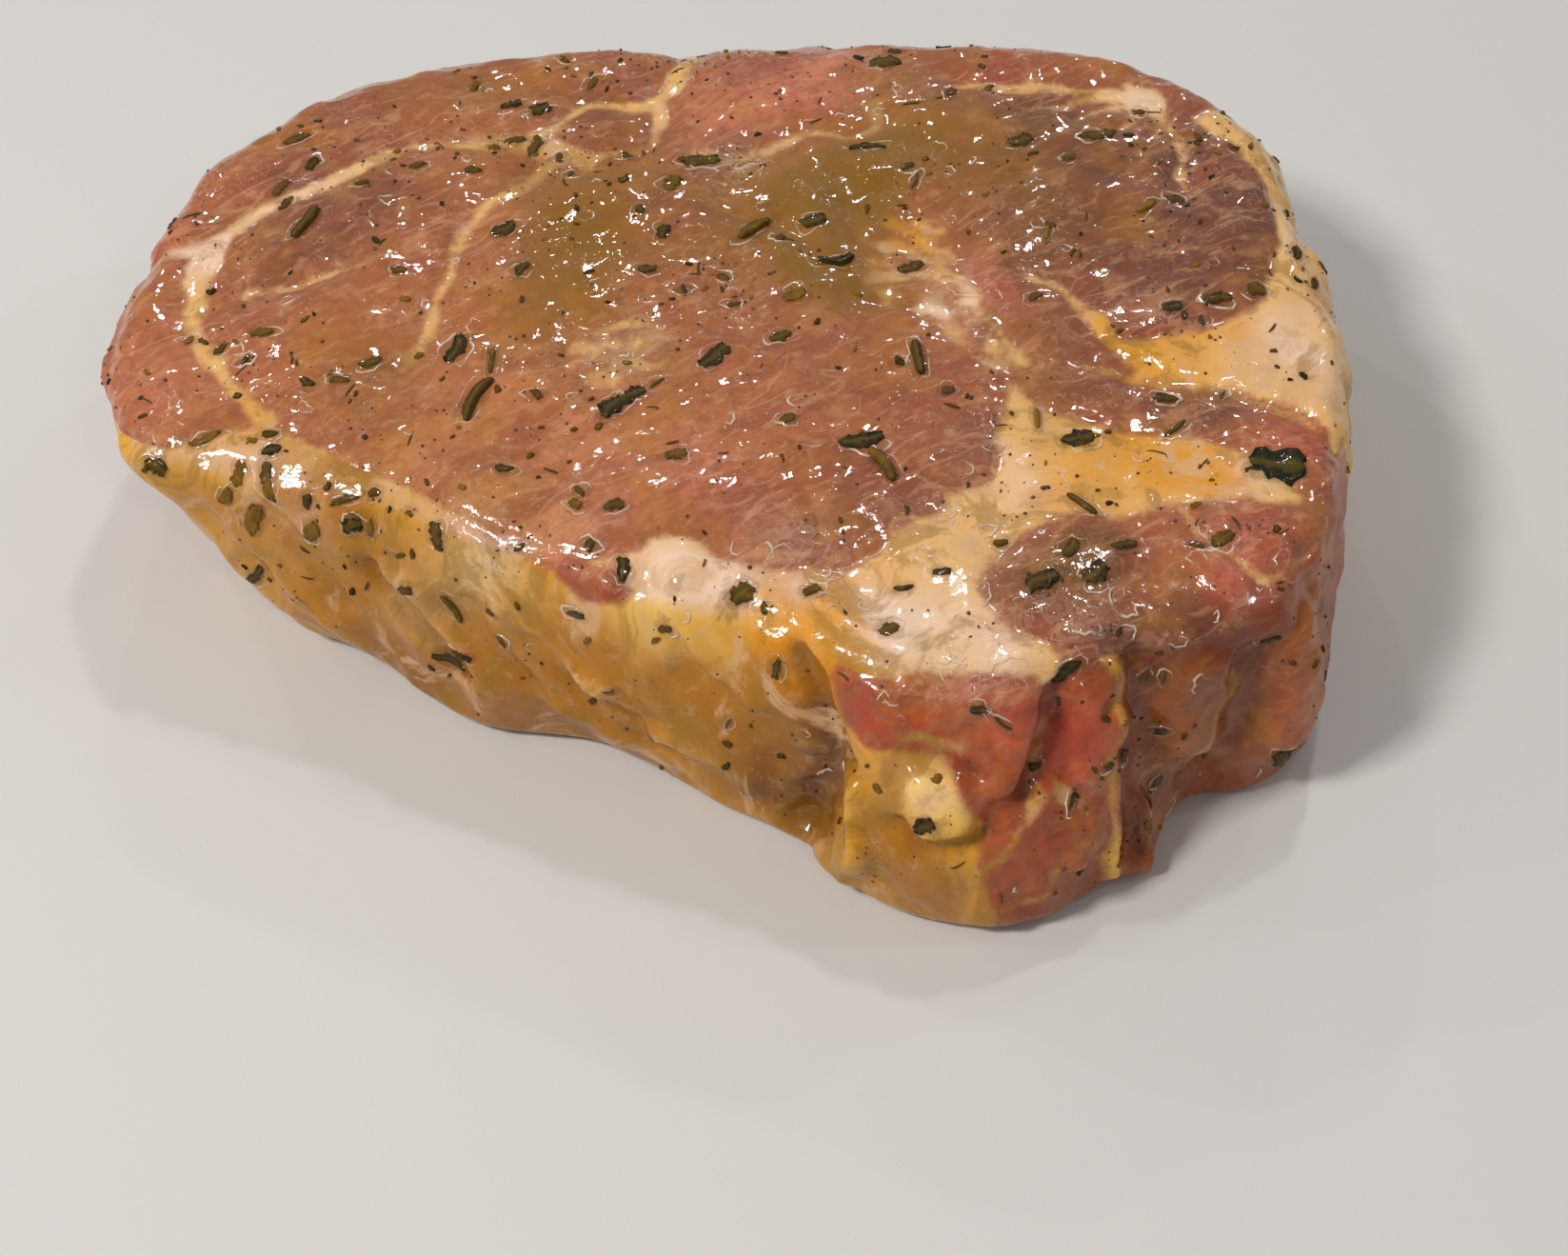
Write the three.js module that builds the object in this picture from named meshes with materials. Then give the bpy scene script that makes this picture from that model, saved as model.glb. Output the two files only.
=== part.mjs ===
// A raw pork neck chop, cut thick across the muscles and lying on its flat underside.
// Millimetres, +Z up. X runs along the chop's length, and the origin is the middle of its
// underside. The chop is one piece of meat, so it is one closed solid: a domed cut face, a
// rounded rim, a side wall that bulges or tucks in, and a flat foot.
import * as THREE from "three";
import { mergeVertices } from "three/addons/utils/BufferGeometryUtils.js";

// Driving dimensions.
const THICKNESS = 41; // height of the cut face over the foot, at the middle
const RIM_ROUND = 6; // radius of the rounded edge between cut face and side
const FOOT_ROUND = 3; // radius of the tucked edge between side and foot
const BELLY_HEIGHT = 0.45; // height of the wall's belly, as a share of the wall
const COLUMNS = 108; // steps round the chop
const FACE_RINGS = 12; // steps from the middle of the cut face to its edge
const ROUND_STEPS = 4; // steps over each rounded edge
const WALL_STEPS = 8; // steps down the side
const HEART = new THREE.Vector2(2, 4); // where the rings of the cut face shrink to

// The outline, anticlockwise from the right-hand end as seen from above. x and y place the
// rim, drop is how far the rim lies below THICKNESS, and belly and foot are how far the wall
// stands out past the rim at its middle and at its foot. A negative value tucks in.
const OUTLINE = [
  { x: 87.5, y: -4, drop: 1, belly: 1, foot: -1 }, // right-hand end
  { x: 88, y: 14, drop: 1, belly: 2, foot: -1 },
  { x: 84.5, y: 33, drop: 1, belly: 1.5, foot: -1 },
  { x: 82, y: 52, drop: 1, belly: 2, foot: -2 }, // back right shoulder
  { x: 68, y: 66.5, drop: 1, belly: 2, foot: -2 },
  { x: 46, y: 74, drop: 1, belly: 3, foot: -2 },
  { x: 22, y: 74, drop: 1, belly: 3, foot: -2 }, // back, beside the rib end
  { x: -2, y: 73, drop: 1, belly: 3, foot: -2 },
  { x: -22, y: 73, drop: 1, belly: 3, foot: -2 },
  { x: -46, y: 69, drop: 1, belly: 3, foot: -2 },
  { x: -63, y: 60.5, drop: 1, belly: 3, foot: -3 },
  { x: -79, y: 45, drop: 2, belly: 3, foot: -3 }, // back left shoulder
  { x: -85, y: 28, drop: 2, belly: 2, foot: -4 },
  { x: -88, y: 10, drop: 3, belly: -1, foot: -9 },
  { x: -88, y: -1, drop: 4, belly: -9, foot: -18 }, // left-hand end, lifted off the foot
  { x: -81, y: -13.5, drop: 4, belly: -9, foot: -15.5 },
  { x: -66, y: -18, drop: 3, belly: 0, foot: -4.5 },
  { x: -51, y: -23, drop: 2, belly: 2, foot: -1 }, // fat cap along the front
  { x: -35, y: -32, drop: 1, belly: 3, foot: 2.5 },
  { x: -18, y: -39.5, drop: 1, belly: 2, foot: -2 },
  { x: 0, y: -44, drop: 1, belly: 4, foot: 4.5 },
  { x: 12, y: -52, drop: 1, belly: 3, foot: 4 },
  { x: 24, y: -58, drop: 2, belly: 6, foot: 7.5 },
  { x: 38, y: -60, drop: 2, belly: 7, foot: 9 }, // front corner
  { x: 47, y: -56, drop: 2, belly: 5, foot: 7.5 },
  { x: 54, y: -50.5, drop: 2, belly: 5, foot: 11 },
  { x: 63, y: -48, drop: 2, belly: 1, foot: 1 },
  { x: 72, y: -44, drop: 1, belly: 2, foot: 2 }, // flap at the front right
  { x: 80, y: -33.5, drop: 1, belly: 2, foot: 3 },
  { x: 84.5, y: -19, drop: 1, belly: 1.5, foot: 0 },
];

// Swells and hollows. Each pushes the surface near (x, y, z) out by up to push, and fades
// over reach.
const SWELLS = [
  { x: -48, y: 26, z: 38, reach: 26, push: 1.2 }, // large eye at the left
  { x: 2, y: 0, z: 41, reach: 30, push: 1.0 }, // middle muscle
  { x: 52, y: 34, z: 40, reach: 24, push: 1.4 }, // eye at the back right
  { x: 12, y: 58, z: 40, reach: 14, push: 1.2 }, // rib end
  { x: -69, y: 16, z: 36, reach: 9, push: -1.4 }, // seam at the left
  { x: 27, y: 26, z: 41, reach: 11, push: -1.6 }, // hollow where the seams meet
  { x: 63, y: -4, z: 40, reach: 12, push: -1.2 }, // seam under the eye
  { x: -60, y: -22, z: 24, reach: 14, push: 1.5 }, // fat roll along the front
  { x: -30, y: -36, z: 22, reach: 13, push: -1.4 },
  { x: -6, y: -46, z: 30, reach: 13, push: 1.8 },
  { x: 10, y: -54, z: 12, reach: 9, push: -2.6 }, // fold where the fat cap ends
  { x: 26, y: -64, z: 14, reach: 11, push: 2.2 }, // lump of fat at the front corner
  { x: 20, y: -60, z: 31, reach: 8, push: 1.6 },
  { x: 48, y: -61, z: 24, reach: 6, push: -4.2 }, // cleft beside the front corner
  { x: 50, y: -57, z: 35, reach: 6, push: -2.6 },
  { x: 66, y: -51, z: 8, reach: 7, push: -3.0 }, // notch at the foot
  { x: 78, y: -42, z: 13, reach: 10, push: 2.2 }, // lobe of the flap
  { x: 58, y: -52, z: 30, reach: 8, push: 1.4 },
];

// Two closed curves over the same stations: where the rim runs, and how the wall stands.
function outlineCurves() {
  const rim = OUTLINE.map((s) => new THREE.Vector3(s.x, s.y, THICKNESS - s.drop));
  const wall = OUTLINE.map((s) => new THREE.Vector3(s.belly, s.foot, 0));
  return [rim, wall].map((points) => new THREE.CatmullRomCurve3(points, true, "catmullrom"));
}

// How far the wall stands out past the rim at a share of its height, 0 at the rim and 1 at
// the foot: one parabola through rim, belly and foot.
function standOut(share, belly, foot) {
  const bellyShare = 1 - BELLY_HEIGHT;
  const throughFoot = (share * (share - bellyShare)) / (1 - bellyShare);
  const throughBelly = (share * (1 - share)) / (bellyShare * (1 - bellyShare));
  return foot * throughFoot + belly * throughBelly;
}

// One column of points, from the edge of the cut face, over the rim, down the wall and
// round to the foot. out is measured outward from the rim.
function columnProfile(rimHeight, belly, foot) {
  const profile = [];
  for (let i = 0; i <= ROUND_STEPS; i++) {
    const turn = (i / ROUND_STEPS) * (Math.PI / 2);
    profile.push({
      out: RIM_ROUND * (Math.sin(turn) - 1),
      z: rimHeight - RIM_ROUND * (1 - Math.cos(turn)),
    });
  }
  const wallTop = rimHeight - RIM_ROUND;
  for (let i = 1; i <= WALL_STEPS; i++) {
    const share = i / WALL_STEPS;
    profile.push({
      out: standOut(share, belly, foot),
      z: wallTop + (FOOT_ROUND - wallTop) * share,
    });
  }
  for (let i = 1; i <= ROUND_STEPS; i++) {
    const turn = (i / ROUND_STEPS) * (Math.PI / 2);
    profile.push({
      out: foot - FOOT_ROUND * (1 - Math.cos(turn)),
      z: FOOT_ROUND * (1 - Math.sin(turn)),
    });
  }
  return profile;
}

// Every ring of points, from the innermost ring of the cut face down to the foot.
function ringsOfChop() {
  const [rimCurve, wallCurve] = outlineCurves();
  const columns = [];
  for (let i = 0; i < COLUMNS; i++) {
    const rim = rimCurve.getPoint(i / COLUMNS);
    const along = rimCurve.getTangent(i / COLUMNS);
    const outward = new THREE.Vector2(along.y, -along.x).normalize();
    const { x: belly, y: foot } = wallCurve.getPoint(i / COLUMNS);
    const profile = columnProfile(rim.z, belly, foot).map(
      ({ out, z }) => new THREE.Vector3(rim.x + outward.x * out, rim.y + outward.y * out, z),
    );
    const face = [];
    for (let ring = 1; ring < FACE_RINGS; ring++) {
      const share = ring / FACE_RINGS;
      const flat = HEART.clone().lerp(new THREE.Vector2(profile[0].x, profile[0].y), share);
      face.push(new THREE.Vector3(flat.x, flat.y, THREE.MathUtils.lerp(THICKNESS, rim.z, share ** 3)));
    }
    columns.push([...face, ...profile]);
  }
  return columns[0].map((_, ring) => columns.map((column) => column[ring]));
}

// The closed surface: a fan at the middle of the cut face, a strip between each two rings,
// and a fan over the foot.
function surfaceOf(rings) {
  const points = rings.flat();
  const top = points.push(new THREE.Vector3(HEART.x, HEART.y, THICKNESS)) - 1;
  const bottom = points.push(new THREE.Vector3(HEART.x, HEART.y, 0)) - 1;
  const index = [];
  const last = (rings.length - 1) * COLUMNS;
  for (let i = 0; i < COLUMNS; i++) {
    const next = (i + 1) % COLUMNS;
    index.push(top, i, next);
    index.push(bottom, last + next, last + i);
    for (let ring = 0; ring < last; ring += COLUMNS) {
      const below = ring + COLUMNS;
      index.push(ring + i, below + i, below + next);
      index.push(ring + i, below + next, ring + next);
    }
  }
  return new THREE.BufferGeometry().setFromPoints(points).setIndex(index);
}

// Pushes the surface out along its normals by the swells. The foot stays flat.
function swell(geometry) {
  geometry.computeVertexNormals();
  const place = geometry.attributes.position;
  const normals = geometry.attributes.normal;
  const point = new THREE.Vector3();
  const normal = new THREE.Vector3();
  for (let i = 0; i < place.count; i++) {
    point.fromBufferAttribute(place, i);
    normal.fromBufferAttribute(normals, i);
    if (point.z > 0) {
      const push = SWELLS.reduce((sum, s) => {
        const distance = Math.hypot(point.x - s.x, point.y - s.y, point.z - s.z);
        return sum + s.push * Math.exp(-((distance / s.reach) ** 2));
      }, 0);
      point.addScaledVector(normal, push);
      place.setXYZ(i, point.x, point.y, Math.max(point.z, 0));
    }
  }
  return geometry;
}

// Puts the origin at the middle of the underside.
function centred(geometry) {
  geometry.computeBoundingBox();
  const middle = geometry.boundingBox.getCenter(new THREE.Vector3());
  return geometry.translate(-middle.x, -middle.y, 0);
}

function chop() {
  const geometry = centred(swell(surfaceOf(ringsOfChop())));
  geometry.deleteAttribute("normal");
  const meat = new THREE.MeshStandardMaterial({ color: 0xb07a66, roughness: 0.3, metalness: 0 });
  const mesh = new THREE.Mesh(mergeVertices(geometry), meat);
  mesh.name = "chop";
  return mesh;
}

const root = new THREE.Group();
root.add(chop());
export default root;
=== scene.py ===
import math

import bmesh
import bpy
import numpy as np
from mathutils import Matrix, Vector
from mathutils.bvhtree import BVHTree


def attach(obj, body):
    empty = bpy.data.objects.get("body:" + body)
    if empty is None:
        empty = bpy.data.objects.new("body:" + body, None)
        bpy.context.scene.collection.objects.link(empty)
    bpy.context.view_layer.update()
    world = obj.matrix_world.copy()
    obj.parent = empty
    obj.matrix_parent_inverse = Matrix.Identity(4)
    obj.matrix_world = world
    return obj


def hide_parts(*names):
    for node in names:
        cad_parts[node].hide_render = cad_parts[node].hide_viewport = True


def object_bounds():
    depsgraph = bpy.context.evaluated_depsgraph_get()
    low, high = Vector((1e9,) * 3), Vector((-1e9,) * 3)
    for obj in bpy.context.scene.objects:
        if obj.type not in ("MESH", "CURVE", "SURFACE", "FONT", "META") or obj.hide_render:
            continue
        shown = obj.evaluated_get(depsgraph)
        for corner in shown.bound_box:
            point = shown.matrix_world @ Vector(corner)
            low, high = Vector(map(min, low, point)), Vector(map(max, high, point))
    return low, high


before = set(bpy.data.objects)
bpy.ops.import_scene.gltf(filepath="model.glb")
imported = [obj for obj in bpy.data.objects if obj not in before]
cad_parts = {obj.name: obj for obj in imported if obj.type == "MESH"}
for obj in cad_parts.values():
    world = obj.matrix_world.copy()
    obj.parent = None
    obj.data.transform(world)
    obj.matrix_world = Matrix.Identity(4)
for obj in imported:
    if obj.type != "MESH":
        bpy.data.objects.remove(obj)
cad_low, cad_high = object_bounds()


# Camera. It stands in front of the fat cap and looks down on the cut face. It aims a little
# nearer and further right than the middle of the chop.

camera_data = bpy.data.cameras.new("camera")
camera_data.lens = 63.3
camera_data.sensor_width = 36
camera_data.clip_start = 0.01
camera = bpy.data.objects.new("camera", camera_data)
bpy.context.scene.collection.objects.link(camera)
bpy.context.scene.camera = camera

elevation = math.radians(49.1)
distance = 0.4052
aim_right, aim_nearer = 0.0075, 0.0187
middle = (cad_low + cad_high) / 2
aim = Vector((middle.x + aim_right, middle.y - aim_nearer, cad_low.z))
camera.location = aim + distance * Vector((0, -math.cos(elevation), math.sin(elevation)))
camera.rotation_euler = (math.pi / 2 - elevation, 0, 0)


# Floor and light. A plain pale matt surface that the chop lies on. One large warm softbox
# lights it from the left, and small ones all round put the glints on the wet skin.

floor_mesh = bpy.data.meshes.new("floor")
floor_half = 6
floor_mesh.from_pydata(
    [(-floor_half, -floor_half, 0), (floor_half, -floor_half, 0),
     (floor_half, floor_half, 0), (-floor_half, floor_half, 0)], [], [(0, 1, 2, 3)])
floor = bpy.data.objects.new("floor", floor_mesh)
floor_gap = 0.0002
floor.location.z = cad_low.z - floor_gap
bpy.context.scene.collection.objects.link(floor)
floor_paint = bpy.data.materials.new("floor_paint")
floor_paint.use_nodes = True
floor_surface = floor_paint.node_tree.nodes["Principled BSDF"]
floor_surface.inputs["Base Color"].default_value = (0.70, 0.69, 0.67, 1)
floor_surface.inputs["Roughness"].default_value = 0.7
floor_mesh.materials.append(floor_paint)

world = bpy.data.worlds.new("studio")
world.use_nodes = True
world.node_tree.nodes["Background"].inputs["Color"].default_value = (1, 0.965, 0.92, 1)
world.node_tree.nodes["Background"].inputs["Strength"].default_value = 0.22
bpy.context.scene.world = world
bpy.context.scene.view_settings.view_transform = "Standard"


def softbox(name, place, size, power, blue=1.0):
    """A square lamp facing the chop; blue below 1 makes it warmer."""
    lamp = bpy.data.lights.new(name, "AREA")
    lamp.size = size
    lamp.energy = power
    lamp.color = (1, (1 + blue) / 2, blue)
    box = bpy.data.objects.new(name, lamp)
    box.location = place
    box.rotation_euler = (-Vector(place)).to_track_quat("-Z", "Y").to_euler()
    bpy.context.scene.collection.objects.link(box)


softbox("key_left", (-0.55, -0.35, 0.85), 0.18, 6.4, 0.94)
softbox("top_back", (0.15, 0.40, 0.95), 0.05, 1.2)
LAMP_SIZE, LAMP_POWER = 0.03, 0.5
LAMP_PLACES = (
    (-0.60, 0.60, 0.70), (-0.12, 0.88, 0.70), (0.62, 0.62, 0.75), (0.30, -0.75, 0.80),
    (0.85, 0.05, 0.75), (-0.90, 0.10, 0.75), (0.30, 1.05, 0.35))
for number, place in enumerate(LAMP_PLACES):
    softbox("lamp_%d" % number, place, LAMP_SIZE, LAMP_POWER)


# The chop itself: one thick slab cut across the pork shoulder, so every muscle, seam and
# band of fat runs through its whole thickness. It is raw, wet with marinade, and heavy
# enough to settle on its underside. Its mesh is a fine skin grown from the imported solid.

MM = 0.001
SKIN_STEP = 0.83 * MM
WELD = 0.01 * MM

meat = bpy.data.objects.new("chop_meat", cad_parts["chop"].data.copy())
bpy.context.scene.collection.objects.link(meat)
shell = bmesh.new()
shell.from_mesh(meat.data)
bmesh.ops.remove_doubles(shell, verts=shell.verts, dist=WELD)
shell.to_mesh(meat.data)
shell.free()
meat.data.materials.clear()
for kind, settings in (
    ("SUBSURF", {"levels": 2}),
    ("REMESH", {"mode": "VOXEL", "voxel_size": SKIN_STEP}),
    ("SMOOTH", {"factor": 0.5, "iterations": 8}),
):
    step = meat.modifiers.new(kind, kind)
    for key, value in settings.items():
        setattr(step, key, value)
grown = bpy.data.meshes.new_from_object(meat.evaluated_get(bpy.context.evaluated_depsgraph_get()))
meat.modifiers.clear()
meat.data = grown
meat.data.name = "chop_meat"


def read_points(mesh):
    points = np.empty(len(mesh.vertices) * 3)
    mesh.vertices.foreach_get("co", points)
    return points.reshape(-1, 3) / MM


def read_normals(mesh):
    normals = np.empty(len(mesh.vertices) * 3)
    mesh.vertices.foreach_get("normal", normals)
    return normals.reshape(-1, 3)


def ramp(value, low, high):
    share = np.clip((value - low) / (high - low), 0, 1)
    return share * share * (3 - 2 * share)


def smooth_line(points, closed, steps=7):
    """Catmull-Rom curve through the points, whatever number of values each has."""
    points = np.array(points, float)
    count = len(points)
    spans = count if closed else count - 1
    line = []
    for i in range(spans):
        if closed:
            a, b, c, d = (points[(i + k) % count] for k in (-1, 0, 1, 2))
        else:
            a, b, c, d = (points[min(max(i + k, 0), count - 1)] for k in (-1, 0, 1, 2))
        for t in np.arange(steps) / steps:
            line.append(0.5 * (2 * b + (c - a) * t + (2 * a - 5 * b + 4 * c - d) * t * t
                               + (3 * b - a - 3 * c + d) * t ** 3))
    if not closed:
        line.append(points[-1])
    return np.array(line)


def inside(place, outline):
    """Signed distance to a closed outline, positive inside it."""
    line = smooth_line(outline, True)
    nearest = np.full(len(place), 1e9)
    within = np.zeros(len(place), bool)
    for a, b in zip(line, np.roll(line, -1, 0)):
        along = b - a
        share = np.clip(((place - a) @ along) / max(along @ along, 1e-9), 0, 1)
        nearest = np.minimum(nearest, np.linalg.norm(place - a - share[:, None] * along, axis=1))
        crosses = (a[1] > place[:, 1]) != (b[1] > place[:, 1])
        level = a[0] + (place[:, 1] - a[1]) * along[0] / (along[1] if along[1] else 1e-9)
        within ^= crosses & (place[:, 0] < level)
    return np.where(within, nearest, -nearest)


def along_stroke(place, stroke):
    """How far inside a stroke a place is. Each of its points is (x, y, half width)."""
    line = smooth_line(stroke, False)
    depth = np.full(len(place), -1e9)
    for a, b in zip(line[:-1], line[1:]):
        along = (b - a)[:2]
        share = np.clip(((place - a[:2]) @ along) / max(along @ along, 1e-9), 0, 1)
        gap = np.linalg.norm(place - a[:2] - share[:, None] * along, axis=1)
        depth = np.maximum(depth, a[2] + share * (b[2] - a[2]) - gap)
    return depth


def spots(place, *blots):
    """Soft round spots, each (x, y, z, reach, strength), added up and held under 1."""
    total = np.zeros(len(place))
    for x, y, z, reach, strength in blots:
        total += strength * np.exp(-((place - (x, y, z)) ** 2).sum(1) / reach ** 2)
    return np.clip(total, 0, 1)


def ripple(place, wavelength, seed, waves=28):
    """Even random waves of about one wavelength, from -1 to 1."""
    rng = np.random.default_rng(seed)
    ways = rng.normal(size=(waves, 3))
    ways *= (2 * np.pi / wavelength * rng.uniform(0.7, 1.3, waves) / np.linalg.norm(ways, axis=1))[:, None]
    phases = rng.uniform(0, 2 * np.pi, waves)
    return np.cos(place @ ways.T + phases).sum(1) / math.sqrt(waves)


# Fat on the cut face, seen from above, in millimetres: bands between the muscles as
# strokes of (x, y, half width), and wide fat as outlines.
FAT_BANDS = [
    [(-22, 38, 1.6), (-28, 41.5, 2.0), (-37, 42.5, 0.9), (-47, 42, 0.8), (-53, 40, 1.2), (-59, 35.5, 1.4),
     (-65, 31, 1.3), (-71, 27, 1.5), (-75.5, 22, 2.0), (-77, 17, 2.1), (-76.5, 10, 1.5), (-75.5, 3, 1.2),
     (-73, -2, 1.2), (-69, -8, 1.0), (-64, -14, 1.6)],
    [(-90, 16, 0.6), (-83, 20, 0.9), (-79, 20.5, 1.6), (-76, 19, 2.2)],
    [(-27, 38, 1.4), (-31, 32, 0.9), (-36, 27, 0.8), (-39, 20, 0.7), (-41, 11, 0.45), (-42, 5, 0.7),
     (-43, 0, 0.8), (-46, -6, 0.3)],
    [(-30, 43, 1.5), (-26, 48, 0.6), (-21, 52, 0.6), (-14, 53.5, 1.0), (-10, 57, 1.5), (-8, 62, 1.6),
     (-6, 76, 1.2)],
    [(-27, 41, 1.8), (-20, 39.5, 0.8), (-13, 42, 0.5), (-11, 48, 1.2), (-12, 54, 1.8)],
    [(-70, 11, 0.15), (-64, 11.5, 0.35), (-59, 13, 0.25), (-57, 15, 0.1)],
    [(-6, 40, 0.3), (0, 39.5, 0.7), (6, 41.5, 0.8), (11, 44.5, 0.9), (18, 44, 0.8), (21, 46, 0.9),
     (21, 52, 0.9)],
    [(43, 12.5, 0.5), (47, 9.5, 0.9), (50, 5.5, 1.2), (53, 1, 2.0)],
    [(61, 53, 1.0), (60.5, 49, 0.5), (58.5, 45.5, 0.15)],
    [(60, 53, 1.0), (55.5, 50.5, 0.5), (51.5, 47.5, 0.15)],
    [(62, 54, 1.0), (64, 48.5, 0.5), (63.5, 44.5, 0.15)],
    [(60, 54, 1.2), (54, 54.5, 0.9), (49, 51.5, 0.4), (44, 50, 0.15)],
    [(64, 50, 0.9), (66, 46, 0.3), (67.5, 41, 0.22), (66.5, 36, 0.22), (67, 32, 0.1)],
    [(34, 56, 0.2), (40, 56.5, 0.9), (45, 57, 1.1), (52, 56, 0.6), (60, 55, 1.0)],
    [(24, 21, 0.3), (29, 15, 0.6), (33, 10, 0.9), (37, 3, 0.7), (41, -5, 0.9)],
    [(22, 28, 0.8), (27, 22, 0.9), (30, 16, 0.4)],
    [(50, -5.6, 0.6), (58, -7.0, 0.4), (66, -8.6, 0.4), (74, -12.0, 0.5), (80, -16.5, 0.5)],
    [(-5, -42, 0.8), (2, -44, 0.9), (10, -44.6, 0.8), (17, -43.2, 0.9), (23, -38.5, 0.8), (28, -34, 0.9),
     (32, -31, 0.9), (35, -29, 0.8)],
    [(36, -29, 1.2), (37.5, -24, 1.5), (38.5, -18, 1.1), (40, -12, 1.0)],
    [(60, -31, 0.3), (64, -38, 0.3), (69, -44, 0.5), (73, -43, 0.3), (78, -38, 0.3)],
    [(22, 12, 0.2), (13, 17, 0.2), (7, 23, 0.3), (-2, 27, 0.1)],
]
FAT_FIELDS = [
    # wedge under the eye muscle, and the rim of fat outside it
    [(50, 3), (56, 1), (63, 2), (70, 4), (75.5, 9), (78.5, 16), (80, 25), (79.5, 34), (76, 42), (70, 48),
     (74, 53), (84, 46), (92, 30), (94, 5), (92, -18), (86, -22), (82, -16), (75, -11), (66, -8),
     (57, -6)],
    # broad band from the right-hand end down to the front corner
    [(38.5, -9), (43, -14), (50, -16.2), (58, -17.8), (66, -20), (70.5, -22), (74, -25.5), (76, -30),
     (74, -31.5), (68, -30.5), (60, -31), (52, -33.5), (44, -34), (37, -38), (33.5, -45), (37, -52),
     (43, -57), (45, -70), (18, -70), (-8, -60), (-11, -39.5), (-6, -38), (0, -41.5), (9, -44), (17, -43),
     (23, -37.5), (30, -32), (35.5, -26), (37.5, -15)],
    # fat cap along the front edge
    [(-8, -42), (-16, -41), (-24, -38.5), (-33, -34), (-41, -29), (-49, -23.5), (-57, -18.5), (-66, -15),
     (-75, -17), (-84, -17.5), (-96, -14), (-90, -34), (-60, -50), (-30, -60), (-10, -62)],
    # a scrap of fat at the back edge
    [(58.5, 52), (62, 50.5), (65.5, 52), (65, 56), (60, 57)],
]
# Fat that is broken up by lean, in the hollow where the seams meet and along the fibres.
BROKEN_FAT = [
    [(17, 29), (23, 31), (28, 27), (31, 20), (33, 14), (36, 8), (40, 1), (39, -6), (34, -5), (30, 2),
     (26, 5), (20, 8), (19, 18)],
    [(-22, -2), (-16, 2), (-10, 1), (-8, -4), (-13, -9), (-19, -10)],
    [(24, -33), (30, -34), (36, -38), (33, -46), (27, -43), (21, -41)],
]
# Scraps of lean let into the fat at the rim.
LEAN_SCRAPS = [
    [(-36, -33.8), (-28, -37.3), (-20, -39.8), (-14, -42), (-15.5, -44.5), (-24, -42.5), (-33, -38)],
    [(22, -59), (28, -60), (34, -60), (40, -60), (40, -66), (22, -66)],
]
# Lean on the front wall, seen from the front, as outlines of (x, z). The rest of the wall
# there is fat as far right as WALL_LEAN.
WALL_LEAN = 50.0
LEAN_ON_WALL = [
    [(-34, 42), (-30, 38), (-24, 36.5), (-19, 34.5), (-14, 36), (-12, 39), (-13, 43)],
    [(13, 36), (15, 31), (18, 28), (22, 29), (27, 29.5), (31, 27.5), (33, 23), (33, 19), (36, 18),
     (40, 22), (44, 33), (43, 38.5), (36, 40.5), (26, 40.5), (17, 39.5)],
    [(29, 28), (33, 20), (33, 15), (34.5, 10), (36, 5), (37, -2), (52, -2), (52, 8), (52, 20), (52, 32),
     (50, 39), (42, 40), (36, 34)],
]
WALL_SEAMS = [
    [(46, 39, 0.1), (49, 36, 0.5), (50.2, 29, 0.5), (50.3, 20, 0.4), (50.8, 11, 0.8), (51.5, 3, 1.4)],
    [(30, 12.5, 0.2), (34, 15, 0.3), (38, 19, 0.4), (41, 24, 0.3), (42.5, 31, 0.2)],
    [(36, 6.5, 0.3), (39, 6, 0.4), (42, 8, 0.4), (43, 12, 0.3)],
    [(65, 31, 0.3), (67, 27, 0.4), (66, 21, 0.4), (62, 16, 0.3), (56, 14, 0.2)],
    [(22, 31, 0.2), (26, 31.5, 0.3), (31, 30, 0.2)],
]

points = read_points(meat.data)
normals = read_normals(meat.data)
plan = points[:, :2] + 0.5 * np.stack([ripple(points, 9, 1), ripple(points, 9, 2)], 1)
face = ramp(np.abs(normals[:, 2]), 0.35, 0.75)
# Under the rim the plan is drawn in a little, so that what meets the rim runs down the wall.
DRAWN_IN = 0.965
plan_in = np.where(face[:, None] > 0.5, plan, plan * DRAWN_IN)
break_up = 0.9 * ripple(points, 4.2, 8) - 0.2
fat_plan = np.maximum.reduce([along_stroke(plan_in, stroke) for stroke in FAT_BANDS]
                             + [inside(plan_in, outline) for outline in FAT_FIELDS]
                             + [np.minimum(inside(plan_in, outline), break_up) for outline in BROKEN_FAT])
for outline in LEAN_SCRAPS:
    fat_plan = np.minimum(fat_plan, -inside(plan_in, outline))
front = points[:, [0, 2]] + 0.5 * np.stack([ripple(points, 7, 3), ripple(points, 7, 4)], 1)
lean_front = np.maximum.reduce([inside(front, outline) for outline in LEAN_ON_WALL]
                               + [front[:, 0] - WALL_LEAN])
seams_front = np.maximum.reduce([along_stroke(front, stroke) for stroke in WALL_SEAMS])
lean_front = np.minimum(lean_front, -seams_front)
# How far each place belongs to the front wall and not to the cut face.
facing = 1 - ramp(points[:, 2] + 6 * normals[:, 2], 41, 45)
facing *= ramp(-normals[:, 1] - 0.6 * normals[:, 2], 0.05, 0.4)
facing *= ramp(-points[:, 1], 5, 14)
fat = fat_plan * (1 - facing) - lean_front * facing
# Round the back, ragged silver skin clings to the wall in patches.
behind = (1 - face) * ramp(normals[:, 1], -0.1, 0.25)
silver = np.minimum(2.6 * (ripple(points * (1, 1, 1.3), 26, 9) - 0.3), -0.55)
fat = np.maximum(fat, silver * behind - 6 * (1 - behind))

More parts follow.
